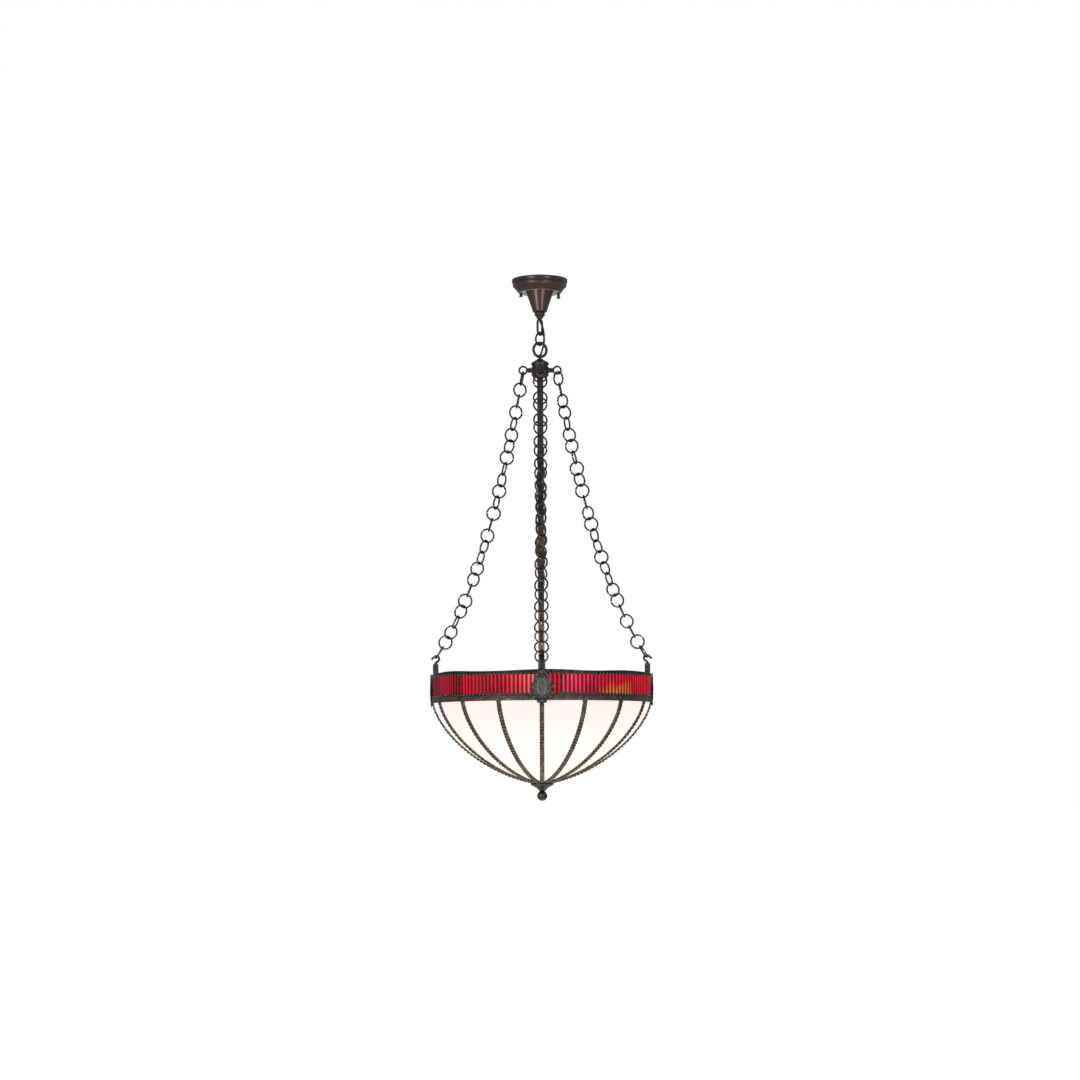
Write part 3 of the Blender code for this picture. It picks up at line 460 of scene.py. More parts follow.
def ruby(name):
    """Reeded red glass painted as lit from behind: each reed gathers the light into a stripe of painted
    light.
    """
    made = Nodes(name, Roughness=0.3, Coat_Weight=0.04, Coat_Roughness=0.2, Emission_Strength=1.0)
    made.shader.inputs["Specular IOR Level"].default_value = 0.12
    place = made.axes()
    turn = made.math("ARCTAN2", place["X"], made.math("MULTIPLY", place["Y"], -1.0))
    share = made.math("ADD", made.math("DIVIDE", turn, 2 * pi), 0.5)
    tables = [[((a + 180.0) / 360.0, c) for a, c in stops] for stops in (RUBY_PAINTED_LIGHT, AMBER_STOPS)]
    red, amber = (made.ramp(share, table) for table in tables)
    wave = made.math("COSINE", made.math("MULTIPLY", turn, float(REEDS)))
    drift = made.math("SUBTRACT", made.noise(38.0, 3.0, (1.0, 1.0, 0.5)), 0.5)
    lit = made.math("ADD", wave, made.math("MULTIPLY", drift, 2.2))
    soft = made.spread(lit, 0.15, 1.0, -0.45, 0.85, "SMOOTHSTEP")
    above_beads = made.math("ADD", place["Z"], -BEAD_STRIP_TOP * MM)
    height = made.math("DIVIDE", above_beads, (TOP_RAIL_BOTTOM - BEAD_STRIP_TOP) * MM)
    streaks = made.math("ADD", height, made.math("MULTIPLY", drift, 2.4))
    low_part = made.vector("SCALE", amber, made.ramp(streaks, ((0.08, (1, 1, 1)), (0.70, (0, 0, 0)))))
    stripe = made.vector("ADD", red, low_part)
    # Painted light: the glow grows brighter towards the top of the glass
    fade = made.math("ADD", made.math("MULTIPLY", height, 0.25), 0.82)
    mottle = made.math("ADD", made.math("MULTIPLY", made.noise(70.0, 4.0), 0.8), 0.6)
    strength = made.math("MULTIPLY", made.math("MULTIPLY", soft, fade), mottle)
    # The emission is painted light: it stands for the lamps' light shining through the red glass
    made.feed("Emission Color", made.vector("SCALE", stripe, strength))
    dark, light = (0.012, 0.001, 0.002), (0.035, 0.002, 0.004)
    made.feed("Base Color", made.ramp(made.noise(30.0, 3.0), ((0.3, dark), (0.7, light))))
    made.bump(made.noise(55.0, 2.0), 0.1, 0.001)
    return made.material


def glowing(name, base, glow, strength):
    made = Nodes(name, Roughness=0.35, Emission_Strength=strength, Emission_Color=(*glow, 1.0))
    shade = tuple(c * 0.93 for c in base)
    made.feed("Base Color", made.ramp(made.noise(40.0), ((0.3, base), (0.7, shade))))
    return made.material


def dull(name, dark, light, rough, scale=90.0, dent=0.2):
    """Ceramic, plastic or stone without metal."""
    made = Nodes(name)
    made.feed("Base Color", made.ramp(made.noise(scale), ((0.3, dark), (0.7, light))))
    made.feed("Roughness", made.spread(made.noise(scale * 2), *rough))
    made.bump(made.noise(scale * 6), dent, 0.0004)
    return made.material


# Each metal's shades, from its hollows to where it is rubbed
SHADES = {
    "dark_bronze": ((0.036, 0.032, 0.027), (0.076, 0.067, 0.057), (0.140, 0.122, 0.102)),
    "rail_patina": ((0.022, 0.024, 0.020), (0.050, 0.054, 0.046), (0.095, 0.100, 0.086)),
    "bead_patina": ((0.060, 0.072, 0.062), (0.150, 0.172, 0.150), (0.290, 0.310, 0.275)),
    "shield_patina": ((0.060, 0.060, 0.051), (0.140, 0.138, 0.118), (0.300, 0.290, 0.250)),
    "brown_rail": ((0.070, 0.056, 0.050), (0.140, 0.112, 0.100), (0.220, 0.182, 0.164)),
    "came_brass": ((0.048, 0.037, 0.026), (0.125, 0.096, 0.068), (0.280, 0.220, 0.160)),
    "dark_brass": ((0.030, 0.025, 0.020), (0.066, 0.056, 0.044), (0.130, 0.110, 0.086)),
    "solder": ((0.16, 0.155, 0.14), (0.30, 0.29, 0.27), (0.46, 0.45, 0.42)),
    "zinc_steel": ((0.26, 0.25, 0.24), (0.40, 0.39, 0.37), (0.52, 0.51, 0.49)),
}
MAHOGANY = canopy_bronze("mahogany_bronze")
BRONZE = metal("dark_bronze", (0.30, 0.46), 0.85, 120.0)
PATINA = metal("rail_patina", (0.38, 0.58), 0.75, 110.0)
BEAD_METAL = metal("bead_patina", (0.28, 0.42), 0.8, 140.0)
SHIELD_METAL = metal("shield_patina", (0.32, 0.5), 0.8, 200.0)
BROWN_RAIL = metal("brown_rail", (0.45, 0.6), 0.8, 80.0)
CAME = metal("came_brass", (0.34, 0.52), 0.8, 160.0)
DARK_BRASS = metal("dark_brass", (0.34, 0.5), 0.8, 140.0)
SOLDER = metal("solder", (0.28, 0.42), 0.9, 200.0)
STEEL = metal("zinc_steel", (0.3, 0.5), 0.95, 50.0)
RUBY = ruby("red_glass")
OPAL = opal("opal_glass")
BULB = glowing("bulb_glass", (0.95, 0.93, 0.88), (1.0, 0.86, 0.66), 3.0)
PORCELAIN = dull("porcelain", (0.72, 0.71, 0.67), (0.86, 0.85, 0.81), (0.25, 0.4))
CORD = dull("brown_cord", (0.026, 0.020, 0.017), (0.070, 0.056, 0.048), (0.38, 0.55), 70.0)
# Pale grey painted highlight for the canopy's underside beside the cone
RECESS_HIGHLIGHT = dull("recess_painted_highlight", (0.68, 0.66, 0.63), (0.82, 0.80, 0.77), (0.3, 0.42), 60.0, 0.03)
STONE = dull("grey_stone", (0.085, 0.085, 0.078), (0.235, 0.235, 0.220), (0.16, 0.26), 45.0, 0.05)


# ---- canopy


def canopy_shapes():
    """The canopy, its recess painted pale as a highlight, the cone and its knurled nut. The part's own
    crossbar turns to steel.
    """
    crossbar = frame["nodes"]["crossbar"].data.materials
    crossbar.clear()
    crossbar.append(STEEL)
    shell = [
        (61.6, 0.0), (63.2, -0.2), (63.5, -1.4), (63.5, -6.6), (62.8, -8.0), (60.9, -8.9),
        (60.6, -9.7), (61.5, -10.6), (61.7, -15.0), (61.0, -16.6), (58.6, -17.4), (57.6, -18.6),
        (50.6, -28.0), (49.2, -29.8), (47.2, -30.2), (45.4, -29.4), (36.2, -21.0), (34.8, -20.5),
        (5.4, -20.5), (5.4, -19.3), (35.3, -19.3), (46.2, -28.2), (48.4, -28.4), (56.8, -17.2),
        (60.2, -15.4), (59.4, -9.4), (61.9, -7.0),
    ]
    piece("canopy_shell", lathe(eased(shell, 0.8), 128), MAHOGANY, "fixing", ["canopy"])
    recess = [(34.4, -20.8), (36.0, -21.3), (45.0, -29.6), (46.9, -30.4), (47.1, -30.1)]
    recess += [(45.3, -29.2), (36.3, -20.9)]
    # The recess is painted pale: a painted highlight on the underside
    piece("canopy_recess", lathe(recess, 96), RECESS_HIGHLIGHT, "fixing")
    cone = [
        (31.8, -20.8), (33.0, -20.9), (33.2, -22.0), (16.5, -71.2), (16.9, -72.4), (15.6, -74.0),
        (5.4, -74.0), (5.4, -72.8), (14.4, -72.8), (31.9, -22.0),
    ]
    piece("cone_shell", lathe(eased(cone, 0.7), 96), MAHOGANY, "fixing", ["canopy_cone"])
    collar = [
        (5.4, -74.5), (10.8, -74.5), (11.6, -75.4), (11.8, -76.6), (11.8, -81.8), (10.9, -82.9),
        (8.2, -83.8), (7.8, -88.2), (5.4, -88.2),
    ]
    steps, knurl_depth = 96, 0.985
    knurled = lathe(eased(collar, 0.5), steps)
    for n, point in enumerate(knurled.points):
        flat = Vector((point.x, point.y))
        if flat.length > 11.6 and (n % steps) % 4 < 2:
            point.x, point.y = flat * knurl_depth
    piece("collar_nut", knurled, BRONZE, "fixing", ["screw_collar"], 25.0)


def threaded_rod(radius, low, high, pitch=0.9):
    outline = [(0, low)]
    turns = int((high - low) / pitch)
    for i in range(turns):
        outline += [(radius - 0.32, low + i * pitch), (radius, low + (i + 0.5) * pitch)]
    return lathe(outline + [(radius - 0.3, high), (0, high)], 20)


def studs():
    for side, (x, low) in STUDS.items():
        place = Matrix.Translation((x, 0, 0))
        rod = Shape().add(threaded_rod(2.0, low + 3.0, -0.6), place)
        piece("screw_" + side, rod, STEEL, "fixing", ["canopy_stud_" + side])
        nut = [
            (0, low), (3.6, low + 0.1), (5.0, low + 0.6), (4.8, low + 1.5), (2.9, low + 3.4),
            (3.2, low + 4.4), (3.4, low + 5.2), (3.3, -30.5), (2.2, -30.2), (0, -30.2),
        ]
        made = Shape().add(lathe(eased(nut, 0.3), 40), place)
        piece("nut_" + side, made, BRONZE, "nut_" + side, ["thumb_nut_" + side])


# ---- suspension


def flat_direction(turn):
    return Vector((cos(radians(turn)), sin(radians(turn)), 0.0))


def link_shape(link, seam=0.0, seam_at=0.0):
    across, up = flat_direction(link["turn"]), Vector((0, 0, 1))
    centre = Vector((0, 0, link["z"]))
    square = link.get("square", 0.0)
    return wire_ring(centre, across, up, link["half"], link["wire"], 72, 16, seam, seam_at, square)


def suspension():
    stem = [
        (0, -9.0), (4.6, -9.0), (5.0, -9.6), (5.0, -14.3), (9.0, -14.3), (9.0, -19.0), (5.0, -19.0),
        (5.0, -86.0), (4.4, -90.4), (2.0, -91.8), (0, -92.0),
    ]
    loop = lathe(eased(stem, 0.5), 40).add(link_shape(LOOP))
    piece("loop_and_stem", loop, BRONZE, "fixing", ["nipple_loop"])
    piece("chain_link_top", link_shape(OVAL, 4.0, 90.0), BRONZE, "link", ["oval_link"])
    piece("ring_round", link_shape(RING), BRONZE, "ring", ["hanging_ring"])
    eye = link_shape(HUB_EYE)
    boss = [(0, -180.7), (4.2, -180.7), (6.8, -181.6), (7.4, -183.4), (2.4, -183.5), (2.4, -191.0)]
    eye.add(lathe(eased(boss + [(0, -191.0)], 0.4), 32))
    piece("hub_loop", eye, BRONZE, "hub", ["hub_eye"])
    body = [
        (0, HUB_TOP), (7.6, HUB_TOP), (10.4, HUB_TOP - 0.8), (12.9, HUB_TOP - 2.4),
        (15.6, HUB_TOP - 4.4), (18.8, HUB_TOP - 5.4), (19.9, HUB_TOP - 6.8), (19.9, HUB_TOP - 11.0),
        (19.0, HUB_TOP - 12.4), (18.2, HUB_TOP - 13.6), (17.8, HUB_TOP - 16.0),
        (17.8, HUB_BOTTOM + 11.0), (18.2, HUB_BOTTOM + 9.0), (19.7, HUB_BOTTOM + 7.6),
        (19.7, HUB_BOTTOM + 4.2), (15.2, HUB_BOTTOM + 3.2), (14.4, HUB_BOTTOM + 0.6),
        (13.2, HUB_BOTTOM), (0, HUB_BOTTOM),
    ]
    hub = lathe(eased(body, 0.6), 96)
    for angle in SIDES.values():
        seat = lathe(eased([(0, 12.0), (8.0, 12.0), (8.0, 18.8), (6.8, 19.6), (0, 19.6)], 0.6), 32)
        hub.add(seat, Matrix.Translation((0, 0, ARM_Z)) @ to_side(angle) @ Matrix.Rotation(pi / 2, 4, "Y"))
    piece("hub_casting", hub, BRONZE, "hub", ["hub_body"])


def arms():
    rod = [(0, 19.7), (5.9, 19.7), (5.9, 22.6), (5.0, 23.4), (5.0, 25.2), (5.7, 26.0), (5.2, 28.4)]
    rod += [(3.6, 30.4), (0, 30.8)]
    half = (ARM_EYE_HALF, ARM_EYE_HALF)
    for side, angle in SIDES.items():
        arm = Shape().add(lathe(eased(rod, 0.4), 32), Matrix.Rotation(pi / 2, 4, "Y"))
        arm.add(wire_ring((ARM_EYE_R, 0, 0), (1, 0, 0), (0, 0, 1), half, ARM_EYE_WIRE, 56, 14))
        made = Shape().add(arm, Matrix.Translation((0, 0, ARM_Z)) @ to_side(angle))
        piece("arm_" + side, made, BRONZE, "hub", ["arm_eye_" + side])


def hanging_curve():
    """A catenary between the first and last link centres, as a function of the arc length."""
    across = CHAIN_BOTTOM[0] - CHAIN_TOP[0]
    drop = CHAIN_TOP[1] - CHAIN_BOTTOM[1]
    length = (LINKS - 1) * LINK_PITCH
    target = sqrt(length**2 - drop**2) / across
    low, high = 1e-3, 5.0
    for _ in range(60):
        middle = (low + high) / 2
        low, high = (middle, high) if sinh(middle) / middle < target else (low, middle)
    size = across / (2 * low)
    start = asinh(drop / (2 * size * sinh(low))) + low

    def at(s):
        u = asinh(sinh(start) - s / size)
        r = CHAIN_TOP[0] + size * (start - u)
        z = CHAIN_TOP[1] - size * (cosh(start) - cosh(u))
        return Vector((r, 0.0, z)), Vector((1.0, 0.0, -sinh(u))).normalized()

    return at


CURVE = hanging_curve()


def chains():
    half = (LINK_RADIUS, LINK_RADIUS)
    across = Vector((0.0, 1.0, 0.0))
    for side, angle in SIDES.items():
        chain = Shape()
        for index in range(LINKS):
            centre, along = CURVE(index * LINK_PITCH)
            inward = across.cross(along)
            turn = radians(LINK_TURNS[side][index] if side in LINK_TURNS else LINK_STEP_FRONT * index)
            flat = across * cos(turn) + inward * sin(turn)
            seam_at = 60.0 + 47.0 * index % 60.0 + 180.0 * (index % 2)
            chain.add(wire_ring(centre, flat, along, half, LINK_WIRE, 44, 10, LINK_SEAM, seam_at))
        made = Shape().add(chain, to_side(angle))
        piece("links_" + side, made, BRONZE, "hanger_" + side, ["chain_" + side])


# ---- hooks


def hook_path():
    x, z = HOOK_CENTRE
    path = [(243.6, POST_TOP - 6.0), (243.6, POST_TOP + 0.5)]
    path += [(242.2, POST_TOP + 3.4), (239.7, POST_TOP + 5.8)]
    for step in range(17):
        a = radians(228 - step * 178 / 16)
        path.append((x + HOOK_BEND * cos(a), z + HOOK_BEND * sin(a)))
    end_x, end_z = path[-1]
    path += [(end_x + 4.0, end_z - 3.3), (end_x + 7.4, end_z - 6.3)]
    return path


def rounded_box(width, thick, corner=0.8):
    pairs = []
    for sx, sy, start in ((1, 1, 0), (-1, 1, 90), (-1, -1, 180), (1, -1, 270)):
        for step in range(4):
            a = radians(start + step * 30)
            middle = (sx * (width / 2 - corner), sy * (thick / 2 - corner))
            pairs.append((middle[0] + corner * cos(a), middle[1] + corner * sin(a)))
    return pairs


def hooks():
    """A bent strip on a post, whose two beaded plates stand inside and outside the rim."""
    inner = [(-POST_HALF, INNER_PLATE_BOTTOM), (-POST_HALF, POST_TOP + 0.6), (-6.0, POST_TOP + 1.6)]
    outer = [(-POST_HALF, BAND_TOP + 0.6), (-POST_HALF, POST_TOP), (-6.2, POST_TOP + 1.0)]
    for side, angle in SIDES.items():
        strip = []
        path = hook_path()
        for i, (x, z) in enumerate(path):
            ahead, behind = path[min(i + 1, len(path) - 1)], path[max(i - 1, 0)]
            along = (Vector(ahead) - Vector(behind)).normalized()
            beside = Vector((-along.y, along.x))
            width = HOOK_WIDTH - (HOOK_WIDTH - HOOK_TIP_WIDTH) * max(0, i - 18) / 4
            section = rounded_box(width, HOOK_THICK)
            strip.append([Vector((x + beside.x * b, a, z + beside.y * b)) for a, b in section])
        hook = Shape().grid(strip, around=True, caps=True)
        for outline, low, high in ((inner, POST_INNER - 0.4, 246.0), (outer, 245.0, POST_OUTER - 0.2)):
            mirrored = [(-a, b) for a, b in reversed(outline)]
            hook.add(slab(outline + mirrored, low, high, 0.7))
        made = Shape().add(hook, to_side(angle))
        piece("hanger_hook_" + side, made, BRONZE, "bowl", ["hook_" + side])
        trim = Shape()
        for z in (POST_TOP - 1.2 - 3.9 * n for n in range(5)):
            for y in (-5.4, 5.4):
                trim.add(ball((POST_OUTER - 1.4, y, z), (1.4, 1.6, 1.7), 6, 10))
                trim.add(ball((POST_INNER + 0.6, y, z), (1.3, 1.5, 1.6), 6, 10))
        piece("post_beads_" + side, Shape().add(trim, to_side(angle)), BROWN_RAIL, "bowl")


# ---- band


def hand_made(angle):
    """The slight waviness of a hand-soldered rim."""
    a = radians(angle)
    return 0.35 * sin(5 * a + 0.7) + 0.25 * sin(11 * a)


def beaded(z, radius):
    row = Shape()
    for i in range(BEADS):
        angle = 360.0 * i / BEADS
        centre = radial(angle, radius, z + hand_made(angle))
        row.add(ball(centre, (BEAD_RADIUS, BEAD_RADIUS, BEAD_RADIUS), 6, 8))
    return row


def rails():
    """The rim channel and the bead strip in front of the glass, their beads, and the brown rail below."""
    top = [
        (RAIL_INNER, BAND_TOP - 0.8), (RAIL_OUTER - 0.8, BAND_TOP - 0.7), (RAIL_OUTER, BAND_TOP - 1.6),
        (RAIL_OUTER, BAND_TOP - 4.6), (RAIL_OUTER - 0.6, BAND_TOP - 5.4),
        (RAIL_OUTER - 0.6, TOP_RAIL_BOTTOM + 0.5), (RAIL_OUTER - 0.9, TOP_RAIL_BOTTOM),
        (RAIL_FRONT, TOP_RAIL_BOTTOM), (RAIL_FRONT, BAND_TOP - 3.0), (RAIL_INNER, BAND_TOP - 3.0),
    ]
    rim = lathe(top, 256, hand_made)
    for point in rim.points:
        if point.z > BAND_TOP - 4.0:
            point.z += RIM_WAVE * cos(RIM_WAVES * atan2(point.x, -point.y)) - RIM_DROP
    piece("rim_rail", rim, PATINA, "bowl", ["top_rail"])
    strip = [
        (RAIL_FRONT, BEAD_STRIP_TOP), (RAIL_OUTER - 0.6, BEAD_STRIP_TOP),
        (RAIL_OUTER - 0.4, BEAD_STRIP_TOP - 0.5), (RAIL_OUTER - 0.4, BEAD_STRIP_BOTTOM),
        (RAIL_FRONT, BEAD_STRIP_BOTTOM),
    ]
    piece("bead_strip", lathe(strip, 256, hand_made), PATINA, "bowl", ["bottom_rail"])
    beads = beaded(TOP_RAIL_BOTTOM + 2.4, RAIL_OUTER - 0.3)
    beads.add(beaded(BEAD_STRIP_TOP - 2.6, RAIL_OUTER - 0.2))
    piece("rail_beads", beads, BEAD_METAL, "bowl")
    lower = [
        (RAIL_INNER + 0.4, BEAD_STRIP_BOTTOM - 0.1), (RAIL_OUTER - 0.4, BEAD_STRIP_BOTTOM - 0.1),
        (RAIL_OUTER + 0.5, BEAD_STRIP_BOTTOM - 1.0), (RAIL_OUTER + 0.8, BEAD_STRIP_BOTTOM - 2.6),
        (RAIL_OUTER + 0.5, BEAD_STRIP_BOTTOM - 4.4), (RAIL_OUTER - 0.5, BAND_BOTTOM + 3.0),
        (RAIL_OUTER, BAND_BOTTOM + 1.6), (RAIL_OUTER - 0.5, BAND_BOTTOM - 1.0),
        (RAIL_INNER + 0.4, BAND_BOTTOM - 1.0),
    ]
    piece("lower_rail", lathe(lower, 256, hand_made), BROWN_RAIL, "bowl")
    blobs = Shape()
    for angle in (88.0, 92.0, 268.0, 272.0, 178.0):
        blobs.add(ball(radial(angle, RAIL_OUTER - 0.6, BAND_BOTTOM + 2.2), (2.2, 2.2, 2.6), 6, 10))
    piece("solder_drops", blobs, SOLDER, "bowl")


def band_panels():
    """Reeded glass, one piece between each pair of seams, with a lead came over every seam that no
    medallion covers.
    """
    low, high = BEAD_STRIP_BOTTOM + 1.2, BAND_TOP - 4.4
    ends = BAND_SEAMS[1:] + (360.0,)
    for number, (start, end) in enumerate(zip(BAND_SEAMS, ends)):
        count = max(16, round((end - start) / 360.0 * REEDS * 8))
        front, back = [], []
        for i in range(count + 1):
            angle = start + 0.15 + (end - start - 0.3) * i / count
            crown = abs(cos(radians(angle) * REEDS / 2))
            front.append((angle, GLASS_OUTER - REED_DEPTH * (1 - crown)))
            back.append((angle, GLASS_INNER))
        ring = front + back[::-1]
        rows = [[radial(a, r, z) for a, r in ring] for z in (high, high - 1.0, low + 1.0, low)]
        made = Shape().grid(rows, around=True, caps=True)
        stands_for = [] if number == 1 else [f"band_glass_{max(number, 1)}"]
        piece(f"ruby_pane_{number + 1}", made, RUBY, "bowl", stands_for, 60.0)
    cames = Shape()
    for angle in BAND_SEAMS[1:]:
        if angle % 90.0:
            ends = (TOP_RAIL_BOTTOM + 0.4, BEAD_STRIP_TOP - 0.4)
            thick = 1.9 if angle == BAND_SEAMS[1] else 1.3
            cames.add(tube([radial(angle, GLASS_OUTER - 0.1, z) for z in ends], circle(thick, 10)))
    piece("band_seams", cames, PATINA, "bowl")


# ---- medallions

HALF_OUTLINE = (
    (0.0, -900.8), (3.4, -902.6), (8.0, -906.8), (13.5, -912.6), (17.4, -919.6), (19.6, -928.0),
    (21.4, -932.4), (25.8, -934.6), (27.0, -938.6), (25.0, -942.0), (22.6, -944.6), (25.6, -948.4),
    (27.0, -953.6), (25.4, -958.6), (23.0, -962.6), (17.0, -963.8), (12.0, -966.4), (11.0, -971.4),
    (7.6, -974.6), (4.6, -974.2), (3.8, -977.2),
)


def curl(centre, size):
    """A raised ring round a boss, flat on the medallion's face."""
    made = wire_ring(centre, (0, 1, 0), (0, 0, 1), (size, size), 0.95, 24, 8)
    return made.add(ball(centre, (1.1, size * 0.5, size * 0.5), 5, 8))


def medallion_relief(centre):
    """Rims and beads round the stone, curls at the sides and below, and leaves up to the point."""
    y, z = Vector((0, 1, 0)), Vector((0, 0, 1))
    relief = wire_ring(centre, y, z, (STONE_HALF[0] + 1.6, STONE_HALF[1] + 1.7), 1.5, 72, 10)
    rim = centre - Vector((0.3, 0, 0))
    relief.add(wire_ring(rim, y, z, (STONE_HALF[0] + 4.9, STONE_HALF[1] + 4.8), 0.9, 72, 8))
    count = 30
    for n in range(count):
        a = 2 * pi * n / count
        at = Vector((-0.1, (STONE_HALF[0] + 3.4) * sin(a), (STONE_HALF[1] + 3.4) * cos(a)))
        relief.add(ball(centre + at, (1.1, 1.1, 1.1), 4, 6))
    curls = (23.8, -938.2, 2.5), (23.6, -953.4, 2.9), (18.4, -961.4, 2.1), (7.2, -971.4, 2.3)
    leaf = (0.8, -902.2), (6.2, -906.6), (12.4, -912.8), (17.0, -921.4), (19.0, -930.2)
    for sign in (-1, 1):
        for cy, cz, size in curls:
            relief.add(curl(centre + Vector((-0.1, sign * cy, cz - STONE_Z)), size))
        line = [centre + Vector((0.1, sign * a, b - STONE_Z)) for a, b in leaf]
        relief.add(tube(line, circle(1.05, 8)))
    relief.add(ball(centre + Vector((0.1, 0, -907.6 - STONE_Z)), (1.2, 2.4, 3.2), 6, 10))
    return relief.add(ball(centre + Vector((0.0, 0, -969.4 - STONE_Z)), (1.3, 3.2, 3.8), 6, 10))


def medallions():
    outline = list(HALF_OUTLINE) + [(-a, z) for a, z in reversed(HALF_OUTLINE[1:])]
    stone_rows = [(1.0, -0.6), (0.99, 0.3), (0.93, 1.0), (0.78, 1.7), (0.55, 2.15), (0.28, 2.4)]
    centre = Vector((MEDALLION_FACE, 0, STONE_Z))
    stone = Shape()
    rows = []
    for share, lift in stone_rows + [(0.03, 2.5)]:
        turns = [2 * pi * n / 56 for n in range(56)]
        half = (STONE_HALF[0] * share, STONE_HALF[1] * share)
        rows.append([centre + Vector((lift, half[0] * sin(a), half[1] * cos(a))) for a in turns])
    stone.grid(rows, around=True, caps=True)
    plate = slab(outline, MEDALLION_BACK, MEDALLION_FACE, 0.9)
    backing = [(-17.0, BEAD_STRIP_TOP + 0.4), (17.0, BEAD_STRIP_TOP + 0.4)]
    backing += [(17.0, TOP_RAIL_BOTTOM - 0.4), (-17.0, TOP_RAIL_BOTTOM - 0.4)]
    plate.add(slab(backing, RAIL_FRONT, MEDALLION_BACK + 0.2, 0.1))
    relief = medallion_relief(centre)
    for side, angle in SIDES.items():
        turn = to_side(angle)
        node = ["medallion_" + side]
        piece("shield_" + side, Shape().add(plate, turn), PATINA, "bowl", node)
        piece("shield_relief_" + side, Shape().add(relief, turn), SHIELD_METAL, "bowl")
        piece("stone_" + side, Shape().add(stone, turn), STONE, "bowl")


# ---- bowl


def bowl_outline(steps, depth=0.0):
    """Points down the outside of the bowl at even distances, moved inward by a depth."""
    fine = []
    for i in range(600):
        a = i / 599 * pi / 2
        r = BOWL_RADIUS * cos(a) ** (2 / BOWL_POWER)
        z = BOWL_EQUATOR - BOWL_DEPTH * sin(a) ** (2 / BOWL_POWER)
        if z <= BOWL_TOP and r >= RING_OUTER:
            fine.append(Vector((r, z)))
    run = [0.0]
    for before, after in zip(fine, fine[1:]):
        run.append(run[-1] + (after - before).length)
    made = []
    k = 1
    for i in range(steps + 1):
        wanted = run[-1] * i / steps
        while k < len(run) - 1 and run[k] < wanted:
            k += 1
        part = (wanted - run[k - 1]) / (run[k] - run[k - 1])
        point = fine[k - 1].lerp(fine[k], part)
        along = (fine[k] - fine[k - 1]).normalized()
        outward = Vector((-along.y, along.x))
        height = min(point.y - outward.y * depth, BOWL_TOP)
        made.append((point.x - outward.x * depth, height, wanted, outward))
    return made


def ribs():
    """Beaded cames: a strip whose crown and edges swell at every bead, and the rings at both ends."""
    shape = Shape()
    half_crown = [(0.38, 0.94), (0.74, 0.7), (1.0, 0.15)]
    crown = [(-a, b) for a, b in reversed(half_crown)] + [(0.0, 1.0)] + half_crown
    foot = PANE_DEPTHS[0] + 0.1
    for n in range(RIBS):
        angle = 360.0 * n / RIBS
        side = Vector((cos(radians(angle)), sin(radians(angle)), 0.0))
        rows = []
        for r, z, run, out in bowl_outline(230):
            swell = abs(sin(pi * run / RIB_BEAD_PITCH)) ** 0.7
            half = RIB_HALF * (0.82 + 0.18 * swell)
            normal = radial(angle, out.x, out.y)
            base = radial(angle, r, z)
            row = [base + side * half * a + normal * ((0.2 + 2.3 * swell) * b - 1.2) for a, b in crown]
            rows.append([base - side * half - normal * foot] + row + [base + side * half - normal * foot])
        shape.grid(rows, around=True, caps=True)
    ring = [(r, bowl_height(r) - 0.2) for r in (34.0, 30.0, 24.0, 18.0, RING_HOLE)]
    ring += [(r, z + 3.0) for r, z in reversed(ring)]
    shape.add(lathe(ring, 96))
    low, high = BAND_BOTTOM - 2.4, BAND_BOTTOM
    rim = [(247.6, high), (251.2, high), (251.4, high - 1.6), (250.6, low), (247.6, low)]
    shape.add(lathe(rim, 256))
    piece("beaded_ribs", shape, CAME, "bowl", ["rib_frame"], 50.0)


def bowl_height(r):
    return BOWL_EQUATOR - BOWL_DEPTH * (1 - (r / BOWL_RADIUS) ** BOWL_POWER) ** (1 / BOWL_POWER)


def bowl_panes():
    """One opal pane in each bay, a little flatter across than the round it lies on."""
    outer, inner = (bowl_outline(40, depth) for depth in PANE_DEPTHS)
    bay = 360.0 / RIBS
    shares = [i / 14 for i in range(15)]
    sags = [1.0 - 0.0035 * (1 - (2 * share - 1) ** 2) for share in shares]
    for n in range(RIBS):
        angles = [n * bay + 0.12 + (bay - 0.24) * share for share in shares]
        rows = []
        for (ro, zo, *_), (ri, zi, *_) in zip(outer, inner):
            front = [radial(a, ro * s, zo) for a, s in zip(angles, sags)]
            back = [radial(a, ri * s, zi) for a, s in zip(angles, sags)]
            rows.append(front + back[::-1])
        pane = Shape().grid(rows, around=True, caps=True)
        stands_for = [f"bowl_glass_{n // 2 + 1}"] if n % 2 == 0 else []
        piece(f"opal_pane_{n + 1}", pane, OPAL, "bowl", stands_for, 50.0)


